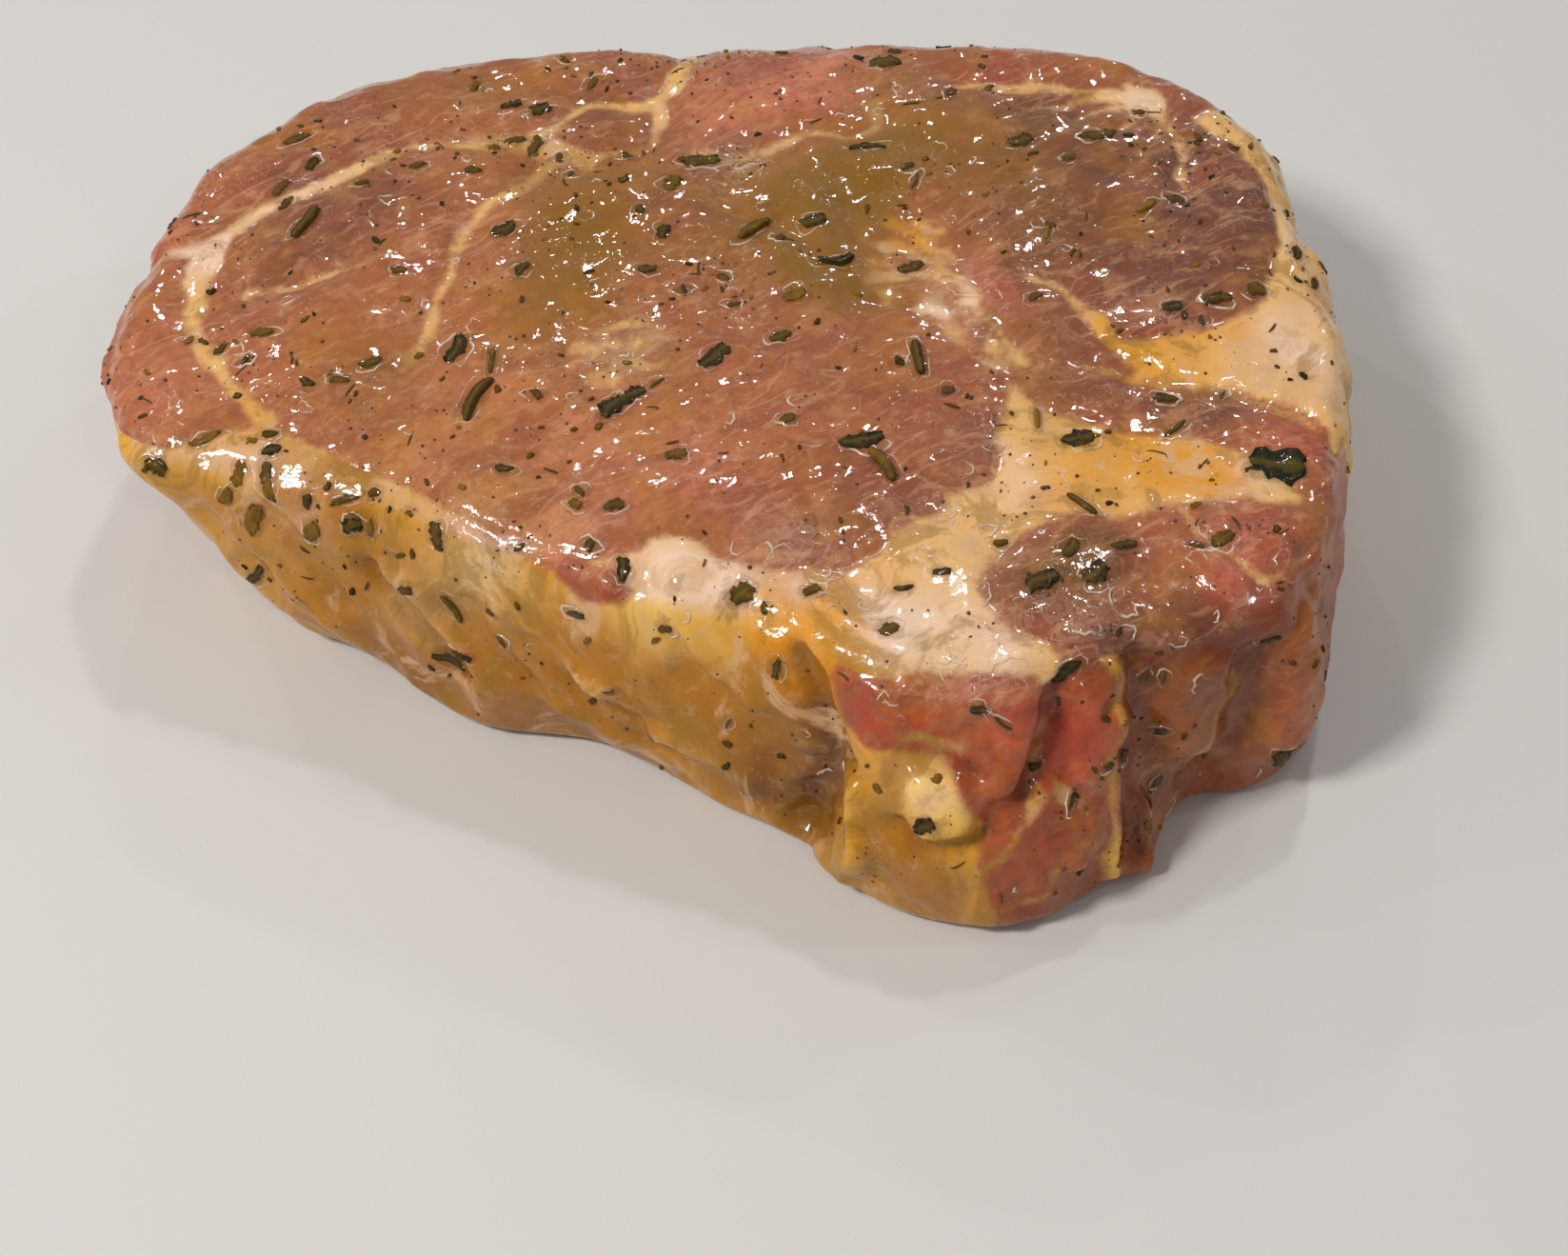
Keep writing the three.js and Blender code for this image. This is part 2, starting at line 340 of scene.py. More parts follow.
# Relief. Muscles swell a little, seams sink between them, and the whole skin is uneven.
MUSCLE_SWELL = 0.9
SEAM_SINK, SEAM_WIDTH = 0.35, 0.9
push = MUSCLE_SWELL * (ramp(-fat, -0.5, 7) - 0.5) * face
push += 0.30 * ripple(points, 17, 5) + 0.16 * ripple(points, 7, 6)
push += (0.10 - 0.05 * ramp(fat, -1, 1)) * ripple(points, 3.2, 7)
push -= SEAM_SINK * np.exp(-(fat / SEAM_WIDTH) ** 2) * face
# On the wall the unevenness leans the way the meat hangs, and it is coarser round the back.
hang = points @ np.array(((1, 0, 0), (0, 1, 0), (0.55, 0, 0.5)))
push += (1 - face) * (0.38 * ripple(hang, 10, 31) + 0.22 * ripple(hang, 5, 32))
push += behind * (0.7 * ripple(points * (1, 1, 0.4), 15, 33) + 0.3 * ripple(points * (1, 1, 0.5), 6, 34))

# Folds in the wall, seen from the front, as strokes of (x, z, half width) and a depth.
FOLDS = [
    ([(-49, 26, 1), (-44, 21, 1.5), (-40, 16, 1.5), (-37, 12, 1)], -1.0),
    ([(-46, 27, 1), (-41, 22, 1.4), (-38, 17, 1)], 0.8),
    ([(-36, 26, 1), (-33, 20, 1.2), (-27, 15, 1)], -0.6),
    ([(-62, 20, 1), (-56, 13, 1.5), (-52, 8, 1)], 0.5),
    ([(10, 35, 1), (13, 25, 1.5), (14, 15, 2), (10, 5, 2)], -1.6),
    ([(16, 21, 1.2), (16.5, 12, 1.6), (14, 4, 2.2)], 1.6),
    ([(22, 29.5, 0.8), (27, 30, 0.8), (32, 28, 0.8)], -0.8),
    ([(27, 24, 3.4), (27.5, 22, 3.4)], 1.0),
    ([(22, 18.5, 0.8), (28, 17.5, 0.8), (34, 20, 0.8), (41, 28, 0.6)], -0.9),
    ([(43, 37, 0.8), (42, 30, 1.6), (40, 24, 1.2)], -1.3),
    ([(46, 32, 1.6), (46.5, 22, 1.8), (47, 12, 1.4)], 0.9),
    ([(50.5, 28, 0.7), (51, 16, 0.8), (51.5, 4, 0.8)], 1.0),
    ([(54, 34, 2), (55, 20, 2), (56, 8, 2)], -0.9),
    ([(65, 32, 0.6), (66.5, 25, 0.7), (64.5, 16, 0.6)], 0.8),
    ([(62, 30, 2), (61, 18, 2)], 0.7),
    ([(69, 30, 2), (68, 16, 2)], -0.8),
    ([(76, 30, 2), (76.5, 14, 3)], 0.9),
    ([(-10, 14, 1.2), (-4, 13, 1.4), (2, 9, 1.4)], 0.7),
    ([(-2, 32, 3), (4, 28, 3)], 0.5),
    ([(-30, 29, 1), (-24, 23, 1.5), (-17, 20, 1)], 0.7),
    ([(-26, 24, 1), (-20, 17, 1.4), (-12, 15, 1)], -0.6),
    ([(-64, 31, 1), (-57, 24, 1.5), (-54, 18, 1)], -0.6),
    ([(-22, 12, 1), (-14, 8, 1.4), (-6, 6, 1)], 0.6),
]
FOLD_DEPTH = 1.7
crease = facing * sum(depth * ramp(along_stroke(front, stroke), -2.2, 0.8) for stroke, depth in FOLDS)
push += FOLD_DEPTH * crease
# A roll of white fat stands up at the rim.
ROLL_HEIGHT = 1.1
push += ROLL_HEIGHT * spots(points, (-5, -43, 38, 4.5, 1.0), (-1, -45, 37, 3.5, 0.6))

# The underside stays flat where it rests.
push *= ramp(points[:, 2], 0.3, 5)
push[points[:, 2] < 1] = 0
points += normals * push[:, None]
points[:, 2] = np.maximum(points[:, 2], 0)
meat.data.vertices.foreach_set("co", (points * MM).astype(np.float32).ravel())
meat.data.update()
for polygon in meat.data.polygons:
    polygon.use_smooth = True

# Colours of the lean and of the fat, laid over a ground colour as soft spots of
# (x, y, z, reach, strength).
TOP = 41
LEAN_GROUND = (0.445, 0.14, 0.045)
LEAN_TINTS = [
    ((0.192, 0.058, 0.028), (  # mauve muscle
        (-60, 26, TOP, 12, 0.9), (-66, 16, TOP, 8, 0.5), (-50, 30, TOP, 7, 0.5), (-20, 47, TOP, 7, 0.6),
        (60, 36, TOP, 20, 1.0), (70, 24, TOP, 15, 1.0), (58, 14, TOP, 12, 0.9), (46, 42, TOP, 12, 0.8),
        (50, -10, TOP, 5, 0.7), (42, 22, TOP, 8, 0.6), (62, -12, TOP, 6, 1.0), (63, -12, TOP, 6, 0.8),
        (72, -15, TOP, 5, 0.5), (36, -22, TOP, 5, 0.5), (46, 0, TOP, 7, 0.6), (58, -12, TOP, 7, 0.5),
        (20, -32, TOP, 9, 0.7), (8, -38, TOP, 7, 0.5), (32, -20, TOP, 7, 0.4), (-5, 31, TOP, 11, 0.7),
        (2, 12, TOP, 9, 0.3), (-20, 60, TOP, 14, 0.4), (-58, 48, TOP, 12, 0.4), (38, 18, TOP, 6, 0.6),
        (18, -8, TOP, 9, 0.3), (36, 60, TOP, 12, 0.4))),
    ((0.60, 0.27, 0.06), (  # orange, where marinade has soaked in along the fat
        (-26, -35, TOP, 6, 1.0), (-36, -30, TOP, 5, 0.8), (-20, -18, TOP, 12, 0.4),
        (-30, -10, TOP, 9, 0.3), (-16, -38, TOP, 4, 0.6), (-46, -22, TOP, 5, 0.5),
        (-30, -30, TOP, 6, 0.4), (-22, -2, TOP, 5, 0.3))),
    ((0.12, 0.038, 0.012), (  # dark muscle at the front right and the middle of the eye
        (62, 34, TOP, 16, 0.5), (38, 46, TOP, 7, 0.5), (46, -43, TOP, 8, 1.0), (38, -46, TOP, 6, 0.6),
        (54, -46, TOP, 7, 0.7), (62, -44, TOP, 7, 0.4))),
    ((0.145, 0.038, 0.022), (  # purple wall under it
        (50, -52, 37, 7, 1.0), (60, -50, 38, 8, 1.0), (70, -47, 34, 7, 0.7), (53, -55, 26, 6, 0.6),
        (66, -51, 26, 7, 0.9), (68, -50, 18, 6, 0.9), (60, -54, 12, 6, 0.5), (48, -60, 20, 5, 0.4))),
    ((0.31, 0.125, 0.02), (  # tan silver skin over the wall
        (54, -54, 30, 5, 0.7), (59, -52, 26, 7, 0.9), (60, -54, 18, 6, 0.6), (72, -46, 12, 10, 0.8),
        (76, -40, 24, 7, 1.0), (82, -30, 20, 9, 0.7), (44, -66, 6, 9, 0.5), (54, -60, 6, 8, 0.7),
        (74, -44, 27, 7, 0.7), (76, -42, 25, 6, 0.6), (58, -56, 10, 6, 0.7), (80, -34, 10, 9, 0.6))),
    ((0.478, 0.076, 0.038), (  # blood
        (14, 52, TOP, 5, 0.9), (17, 47, TOP, 3, 0.7), (8, 47, TOP, 4, 0.6), (6, 60, TOP, 6, 0.4),
        (38, 9, TOP, 3.5, 0.9), (74, -16, TOP, 5, 0.7), (79, -20, TOP, 5, 0.9), (79, -28, TOP, 4, 0.6),
        (71, -37, TOP, 6, 0.9), (64, -44, TOP, 5, 0.8), (60, -41, TOP, 5, 0.4), (20, -61, 33, 5, 0.8),
        (28, -62, 33, 7, 1.0), (37, -62, 31, 7, 1.0), (43, -60, 30, 4, 1.0), (44, -63, 25, 4, 0.8),
        (40, -66, 18, 6, 0.5), (-85, 28, 36, 6, 1.0), (41, 62, TOP, 5, 0.7), (62, -42, TOP, 5, 0.4))),
    ((0.38, 0.042, 0.014), (  # deep red groove
        (43, -60, 32, 3, 1.0), (42, -62, 26, 2.5, 1.0), (45.5, -62, 27, 2.5, 0.7),
        (42, -65, 18, 3, 0.6))),
    ((0.72, 0.44, 0.29), (  # white flecks
        (-17, -4, TOP, 3.5, 0.6), (-12, 1, TOP, 3, 0.4), (30, -38, TOP, 5, 0.3))),
    ((0.64, 0.20, 0.115), (  # rose
        (16, 52, TOP, 6, 0.8), (38, -62, 28, 5, 0.6), (4, 54, TOP, 9, 0.9), (0, 46, TOP, 7, 0.6),
        (15, 60, TOP, 6, 0.6), (34, 14, TOP, 5, 0.5), (-23, -42, 38, 6, 0.8), (-80, -5, TOP, 12, 0.4),
        (-30, -20, TOP, 14, 0.3), (-10, -30, TOP, 13, 0.5), (38, -62, 28, 4, 0.5))),
]
FAT_GROUND = (0.84, 0.485, 0.165)
FAT_TINTS = [
    ((0.40, 0.19, 0.085), (  # tan, where lean lies close under
        (50, -60, 34, 4, 0.9), (50, -61, 25, 4, 0.9), (50.5, -62, 16, 4, 0.8), (66, -51, 28, 6, 0.9),
        (63, -54, 17, 6, 0.9), (38, -64, 17, 5, 0.8), (41, -66, 7, 5, 0.8), (-72, 20, 25, 12, 0.5),
        (-8, 66, 25, 12, 0.4))),
    ((0.49, 0.21, 0.008), (  # yellow, steeped in marinade
        (-72, -22, 30, 12, 0.8), (-50, -28, 28, 13, 0.9), (-30, -40, 24, 11, 1.0),
        (-16, -46, 22, 11, 0.9), (0, -50, 24, 11, 1.0), (8, -56, 18, 11, 1.0), (24, -68, 12, 11, 1.0),
        (8, -55, 29, 6, 0.8), (-55, -22, 16, 13, 0.8), (-40, -32, 12, 12, 0.8), (-20, -42, 10, 13, 0.9),
        (-52, -27, 39, 5, 0.8), (-62, -22, 38, 5, 0.6), (-30, 43, TOP, 5, 0.6), (12, 24, TOP, 7, 0.6),
        (-24, 38, TOP, 6, 0.5), (36, 2, TOP, 5, 0.3), (44, -20, TOP, 4, 0.5))),
    ((0.80, 0.34, 0.02), (  # orange stain
        (20, -50, TOP, 5, 0.5), (10, -57, 35, 6, 1.0), (10, -58, 36, 5, 0.8), (68, -26, TOP, 4, 0.6),
        (25, 23, TOP, 6, 1.0), (20, 28, TOP, 6, 1.0), (55, -1, TOP, 8, 1.0), (68, 1, TOP, 7, 0.7),
        (28, 14, TOP, 4, 0.6), (56, -21, TOP, 8, 1.0), (60, -23, TOP, 5, 0.9), (67, -25, TOP, 4, 0.6),
        (18, -49, TOP, 5, 0.5), (-68, -20, 39, 5, 0.5), (46, -28, TOP, 7, 0.6), (62, -28, TOP, 5, 0.5),
        (8, -49, TOP, 6, 0.8), (14, -47, TOP, 4, 0.7), (11, -57, 37, 5, 1.0), (-28, -36, TOP, 6, 0.8),
        (-16, -39.5, TOP, 5, 0.7), (-66, -12, TOP, 5, 0.5), (9, -55, 30, 4, 0.5),
        (78, -14, TOP, 4, 0.6))),
    ((0.92, 0.645, 0.46), (  # bare white fat
        (-5, -43, 39, 6, 1.0), (-5, -43, 38, 5, 1.0), (1, -45, 39, 4, 1.0), (10, -44, TOP, 3, 0.8),
        (16, -44, TOP, 3, 0.8), (-77, 20, TOP, 5, 1.0), (-70, 28, TOP, 4, 0.8), (20, -51, TOP, 4, 0.6),
        (30, 8, TOP, 5, 0.8), (28, -53, TOP, 7, 0.9), (36, -56, TOP, 5, 0.8), (20, -53, TOP, 4, 0.6),
        (72, -26, TOP, 4, 0.8), (79, 0, TOP, 6, 1.0), (84, -8, TOP, 5, 0.7), (62, 54, TOP, 5, 1.0),
        (81, 22, TOP, 6, 0.5), (-8, -46, 36, 6, 0.8), (-69, -21, 38, 5, 0.6), (32, 8, TOP, 5, 0.6),
        (-78, 18, TOP, 6, 0.6), (-62, 33, TOP, 7, 0.6), (-50, 40, TOP, 6, 0.3), (-46, -26, TOP, 4, 0.7),
        (-80, -18, TOP, 6, 0.5), (38, -28, TOP, 5, 0.5), (5, 40, TOP, 8, 0.4))),
    ((0.86, 0.64, 0.85), (  # the same on the wall, under its yellow stain
        (27, -66, 25, 4.5, 0.65), (-31, -38, 35, 5, 0.8), (-42, -31, 20, 6, 0.8), (-35, -36, 31, 6, 0.6),
        (-60, -26, 30, 6, 0.4))),
    ((0.259, 0.1, 0.014), (  # brown where marinade has run down
        (10, -56, 10, 8, 1.0), (13, -58, 20, 5, 0.7), (8, -54, 29, 5, 0.6), (26, -67, 13, 5, 0.7),
        (2, -50, 8, 8, 0.8), (-46, -28, 5, 9, 0.8), (-30, -40, 4, 9, 0.6), (-68, -12, 12, 7, 0.7),
        (20, -62, 31, 4, 0.4), (-12, -44, 4, 8, 0.5), (12, -56, 24, 5, 0.5))),
]
# Where the yellow marinade lies as a film over the face.
FILM = (
    (-24, 30, TOP, 8, 0.9), (-21, 19, TOP, 9, 0.9), (-24, 8, TOP, 8, 0.7), (-27, 0, TOP, 6, 0.3),
    (6, 33, TOP, 8, 0.7), (17, 34, TOP, 9, 0.9), (14, 20, TOP, 10, 1.0), (14, 10, TOP, 8, 0.7),
    (27, 42, TOP, 9, 0.9), (35, 48, TOP, 8, 0.35), (42, 36, TOP, 9, 0.6), (-12, 36, TOP, 7, 0.5),
    (47, 24, TOP, 8, 0.4), (-2, 20, TOP, 9, 0.5), (45, -43, TOP, 6, 0.6), (-32, -30, TOP, 9, 0.25),
    (22, 54, TOP, 6, 0.5), (-38, 56, TOP, 10, 0.3), (-50, -6, TOP, 12, 0.35), (-10, -6, TOP, 9, 0.35),
    (44, -8, TOP, 6, 0.4))

# Where it has set to a clear jelly with wrinkled edges.
GEL = (
    (16, -53, TOP, 5, 0.9), (30, -57, TOP, 7, 1.0), (38, -58, TOP, 5, 1.0), (24, -60, TOP, 5, 0.8),
    (30, -40, TOP, 6, 1.0), (35, -36, TOP, 5, 1.0), (28, -35, TOP, 4, 0.8), (6, -40, TOP, 5, 1.0),
    (12, -41, TOP, 4, 0.9), (44, -52, TOP, 5, 1.0), (50, -49, TOP, 5, 0.9), (40, -49, TOP, 4, 0.8),
    (-17, -4, TOP, 4, 0.9), (-12, 1, TOP, 4, 0.8), (0, 38, TOP, 5, 0.9), (-2, 34, TOP, 4, 0.7),
    (33, 8, TOP, 5, 0.8), (36, 1, TOP, 4, 0.8), (30, 14, TOP, 3, 0.7), (-20, -35, TOP, 4, 0.6),
    (-33, -33, TOP, 3, 0.6), (54, -22, TOP, 3, 0.6), (64, -40, TOP, 6, 0.6), (30, -60, 36, 5, 0.8),
    (36, -24, TOP, 4, 0.6))

# What the colours are multiplied by: the stain of the marinade round the side and the back, a darkening
# low down that is partly marinade stain and partly painted shade, and painted light on the crests and
# painted shade in the hollows of the folds.
LEAN_WALL_STAIN = np.array((1.06, 0.74, 0.50))
FAT_WALL_STAIN = np.array((0.98, 0.88, 0.30))
BACK_STAIN = np.array((0.86, 0.84, 0.74))
LOW_STAIN_AND_SHADE = np.array((0.72, 0.62, 0.45))
FOLD_CREST_PAINTED_LIGHT = np.array((1.5, 1.8, 2.6))
FOLD_HOLLOW_PAINTED_SHADE = np.array((0.45, 0.38, 0.30))
wandered = points + 1.6 * np.stack([ripple(points, 12, seed) for seed in (11, 12, 13)], 1)
# Painted light on the crests of the folds and painted shade in their hollows.
crest_light_share = 0.55 * ramp(crease, 0.1, 1.0)
hollow_shade_share = 0.6 * ramp(-crease, 0.1, 1.2)
# Darker and browner low down on the wall: partly marinade gathered at the foot, partly painted shade.
low_stain_and_shade_share = 0.7 * (1 - ramp(points[:, 2] + 2 * ripple(points, 20, 14), 0, 17))


def stained(colour, share, stain):
    return colour * (1 - share[:, None] * (1 - stain))


def laid_over(ground, tints, wall_stain):
    colour = np.tile(ground, (len(points), 1))
    for tint, blots in tints:
        share = spots(wandered, *blots)[:, None]
        colour = colour * (1 - share) + share * np.array(tint)
    # Painted light on the fold crests, painted shade in the fold hollows.
    colour = stained(stained(colour, crest_light_share, FOLD_CREST_PAINTED_LIGHT), hollow_shade_share, FOLD_HOLLOW_PAINTED_SHADE)
    round_the_side = wall_stain * (1 - behind[:, None]) + BACK_STAIN * behind[:, None]
    return stained(stained(colour, 1 - face, round_the_side), low_stain_and_shade_share, LOW_STAIN_AND_SHADE)


for name, values in (("fat", fat), ("film", spots(wandered, *FILM)), ("face", face),
                     ("gel", spots(wandered, *GEL))):
    layer = meat.data.attributes.new(name, "FLOAT", "POINT")
    layer.data.foreach_set("value", values.astype(np.float32))
for name, ground, tints, wall_stain in (("lean_colour", LEAN_GROUND, LEAN_TINTS, LEAN_WALL_STAIN),
                                        ("fat_colour", FAT_GROUND, FAT_TINTS, FAT_WALL_STAIN)):
    layer = meat.data.attributes.new(name, "FLOAT_COLOR", "POINT")
    rgba = np.concatenate([laid_over(ground, tints, wall_stain), np.ones((len(points), 1))], 1)
    layer.data.foreach_set("color", rgba.astype(np.float32).ravel())


class Wiring:
    """Short calls for laying out a material's nodes."""

    def __init__(self, tree):
        self.tree = tree

    def node(self, kind, **settings):
        made = self.tree.nodes.new(kind)
        for key, value in settings.items():
            setattr(made, key, value)
        return made

    def link(self, source, target):
        if hasattr(source, "links"):
            self.tree.links.new(source, target)
        else:
            target.default_value = source

    def attribute(self, name):
        return self.node("ShaderNodeAttribute", attribute_name=name).outputs["Fac"]

    def colour(self, name):
        return self.node("ShaderNodeAttribute", attribute_name=name).outputs["Color"]

    def math(self, operation, a, b=0.0, clamp=False):
        made = self.node("ShaderNodeMath", operation=operation, use_clamp=clamp)
        self.link(a, made.inputs[0])
        self.link(b, made.inputs[1])
        return made.outputs[0]

    def noise(self, place, scale, detail=2.0, roughness=0.5, distortion=0.0):
        made = self.node("ShaderNodeTexNoise")
        self.link(place, made.inputs["Vector"])
        made.inputs["Scale"].default_value = scale
        made.inputs["Detail"].default_value = detail
        made.inputs["Roughness"].default_value = roughness
        made.inputs["Distortion"].default_value = distortion
        return made.outputs["Fac"]

    def span(self, value, low, high, to_low=0.0, to_high=1.0, smooth=True):
        made = self.node("ShaderNodeMapRange", interpolation_type="SMOOTHSTEP" if smooth else "LINEAR")
        self.link(value, made.inputs["Value"])
        made.inputs["From Min"].default_value = low
        made.inputs["From Max"].default_value = high
        made.inputs["To Min"].default_value = to_low
        made.inputs["To Max"].default_value = to_high
        return made.outputs["Result"]

    def mix(self, share, a, b, blend="MIX"):
        made = self.node("ShaderNodeMix", data_type="RGBA", blend_type=blend)
        self.link(share, made.inputs["Factor"])
        for value, target in ((a, made.inputs["A"]), (b, made.inputs["B"])):
            self.link(value if hasattr(value, "links") else (*value, 1), target)
        return made.outputs["Result"]

    def relief(self, *layers):
        """One bump from several layers, each a (height, depth in millimetres)."""
        total = 0.0
        for height, depth in layers:
            total = self.math("ADD", total, self.math("MULTIPLY", height, depth))
        made = self.node("ShaderNodeBump")
        made.inputs["Distance"].default_value = MM
        self.link(total, made.inputs["Height"])
        return made.outputs["Normal"]


flesh = bpy.data.materials.new("raw_flesh")
flesh.use_nodes = True
w = Wiring(flesh.node_tree)
surface = flesh.node_tree.nodes["Principled BSDF"]
place = w.node("ShaderNodeTexCoord").outputs["Object"]

# Lean: pale short fibres run slantwise across the face, with mauve and yellow clouds under them.
turned = w.node("ShaderNodeVectorRotate", rotation_type="Z_AXIS")
turned.inputs["Angle"].default_value = math.radians(-32)
w.link(place, turned.inputs["Vector"])
drawn = w.node("ShaderNodeMapping")
drawn.inputs["Scale"].default_value = (1, 3.4, 2.0)
w.link(turned.outputs["Vector"], drawn.inputs["Vector"])
fibre = w.noise(drawn.outputs["Vector"], 230, 4, 0.62, 0.5)
cloud = w.noise(place, 75, 4, 0.6)
smear = w.noise(drawn.outputs["Vector"], 42, 4, 0.6, 0.3)
patch = w.noise(place, 210, 3, 0.6, 0.5)
mottle = w.noise(place, 480, 3, 0.65, 0.4)
lean = w.mix(w.span(smear, 0.48, 0.60, 0.0, 0.6), w.colour("lean_colour"), (0.31, 0.078, 0.037))
lean = w.mix(w.span(cloud, 0.36, 0.5, 0.4, 0.0), lean, (0.48, 0.205, 0.02))
lean = w.mix(w.span(mottle, 0.4, 0.7, 0.0, 0.4), lean, (0.215, 0.056, 0.023))
flat = w.span(w.attribute("face"), 0.0, 1.0, 0.35, 1.0)
lean = w.mix(w.math("MULTIPLY", w.span(patch, 0.52, 0.70, 0.0, 0.4), flat), lean, (0.60, 0.265, 0.11))
lean = w.mix(w.math("MULTIPLY", w.span(fibre, 0.53, 0.68, 0.0, 0.36), flat), lean, (0.68, 0.35, 0.165))
vein = w.noise(drawn.outputs["Vector"], 55, 2, 0.5, 0.5)
vein = w.math("MULTIPLY", w.span(vein, 0.46, 0.49), w.span(vein, 0.49, 0.52, 1.0, 0.0))
vein = w.math("MULTIPLY", w.math("MULTIPLY", vein, flat), w.span(cloud, 0.42, 0.6))
lean = w.mix(w.math("MULTIPLY", vein, 0.34), lean, (0.72, 0.395, 0.20))

# Fat: patches of paler and of stained fat show through each other, and run down the wall.
hung = w.node("ShaderNodeMapping")
hung.inputs["Scale"].default_value = (1, 1, 0.6)
w.link(place, hung.inputs["Vector"])
runs = w.noise(hung.outputs["Vector"], 85, 5, 0.66, 1.0)
tallow = w.mix(w.span(runs, 0.50, 0.60, 0.0, 0.6), w.colour("fat_colour"), (0.34, 0.165, 0.009))
tallow = w.mix(w.span(runs, 0.36, 0.46, 0.75, 0.0), tallow, (0.74, 0.445, 0.23))
tallow = w.mix(w.span(mottle, 0.52, 0.75, 0.0, 0.25), tallow, (0.80, 0.515, 0.28))
tallow = w.mix(w.span(cloud, 0.54, 0.66, 0.0, 0.35), tallow, (0.53, 0.215, 0.09))

edge = w.math("ADD", w.attribute("fat"), w.math("MULTIPLY", w.math("SUBTRACT", patch, 0.5), 2.8))
edge = w.math("ADD", edge, w.math("MULTIPLY", w.math("SUBTRACT", mottle, 0.5), 1.6))
skin = w.mix(w.span(edge, -0.8, 0.9), lean, tallow)
film = w.math("MULTIPLY", w.attribute("film"), w.span(cloud, 0.25, 0.55, 0.6, 1.0))
skin = w.mix(film, skin, (0.265, 0.116, 0.003))

# The wet skin: fibres and pits, under a clear layer that stands in shallow pools with
# rounded shores.
grain = w.noise(place, 900, 3, 0.6)
fleshy = w.relief((fibre, 0.16), (grain, 0.06))
pool = w.noise(place, 250, 2, 0.5, 2.6)
close = w.noise(place, 300, 2, 0.5, 2.2)
lies = w.span(w.noise(place, 80, 2), 0.44, 0.56)
lies = w.math("MULTIPLY", lies, w.span(w.attribute("film"), 0.2, 0.9, 1.0, 0.3))
lies = w.math("MULTIPLY", lies, w.attribute("face"))
pools = w.math("MULTIPLY", w.span(pool, 0.49, 0.56), lies)
gel = w.math("MULTIPLY", w.span(close, 0.46, 0.54), w.attribute("gel"))
shore = w.math("MULTIPLY", w.span(close, 0.455, 0.495), w.span(close, 0.495, 0.535, 1.0, 0.0))
shore = w.math("MULTIPLY", shore, w.attribute("gel"))
pool_shore = w.math("MULTIPLY", w.span(pool, 0.50, 0.535), w.span(pool, 0.535, 0.57, 1.0, 0.0))
shore = w.math("ADD", shore, w.math("MULTIPLY", w.math("MULTIPLY", pool_shore, lies), 0.8))
skin = w.mix(w.math("MULTIPLY", gel, 0.08), skin, (0.85, 0.66, 0.52))
# Pale lines painted along the shores: partly the pale edge of the marinade film, partly a painted highlight.
skin = w.mix(w.math("MULTIPLY", shore, 0.12), skin, (0.92, 0.80, 0.68))
w.link(skin, surface.inputs["Base Color"])
wet = w.relief((patch, 0.10), (mottle, 0.04), (pools, 0.06), (gel, 0.12), (shore, 0.13))
w.link(fleshy, surface.inputs["Normal"])
w.link(wet, surface.inputs["Coat Normal"])
w.link(w.span(w.attribute("face"), 0.0, 1.0, 0.5, 1.0), surface.inputs["Coat Weight"])
surface.inputs["Roughness"].default_value = 0.5
surface.inputs["Specular IOR Level"].default_value = 0.15
surface.inputs["Coat Roughness"].default_value = 0.05
surface.inputs["Coat IOR"].default_value = 1.52
surface.inputs["Subsurface Weight"].default_value = 0.25
surface.inputs["Subsurface Radius"].default_value = (1.0, 0.42, 0.2)
surface.inputs["Subsurface Scale"].default_value = 2.0 * MM
meat.data.materials.append(flesh)

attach(meat, "root")
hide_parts("chop")


# Herbs: dried leaves and stems, rubbed on with the marinade. They are soft and wet and lie
# flat on the meat, each bedded in the marinade that climbs its edge. The large ones lie
# where a cook dropped them, the small ones anywhere.

skin_tree = BVHTree.FromPolygons([tuple(p) for p in points], [tuple(f.vertices) for f in meat.data.polygons])
dice = np.random.default_rng(7)


def landing(start, way, near):
    """The spot and normal a thing meets going one way, or the skin nearest to a place if it misses."""
    spot, normal, _, _ = skin_tree.ray_cast(Vector(start), Vector(way))
    return (spot, normal) if spot else skin_tree.find_nearest(Vector(near))[:2]


def on_top(x, y):
    """Where a thing dropped at (x, y) lands, and the way the skin faces there."""
    return landing((x, y, 100), (0, 0, -1), (x, y, 36))


def on_wall(x, z):
    """Where a thing pressed on the front wall at (x, z) sticks."""
    return landing((x, -150, z), (0, 1, 0), (x, -60, z))


def bed(spot, normal, turn):
    """Axes of a thing lying at a spot: along, across and out of the skin."""
    out = normal.normalized()
    side = Vector((1, 0, 0)) if abs(out.x) < 0.9 else Vector((0, 1, 0))
    along = (side - out * side.dot(out)).normalized()
    along = Matrix.Rotation(math.radians(turn), 3, out) @ along
    return along, out.cross(along), out


def draped(spot, axes, flat, lift):
    """Lays flat points on the skin round a spot, each raised by its own lift."""
    along, across, out = axes
    placed = []
    for (u, v), height in zip(flat, lift):
        guess = spot + along * u + across * v
        hit, normal, _, _ = skin_tree.find_nearest(guess)
        placed.append(hit + (normal.lerp(out, 0.5)).normalized() * height)
    return placed


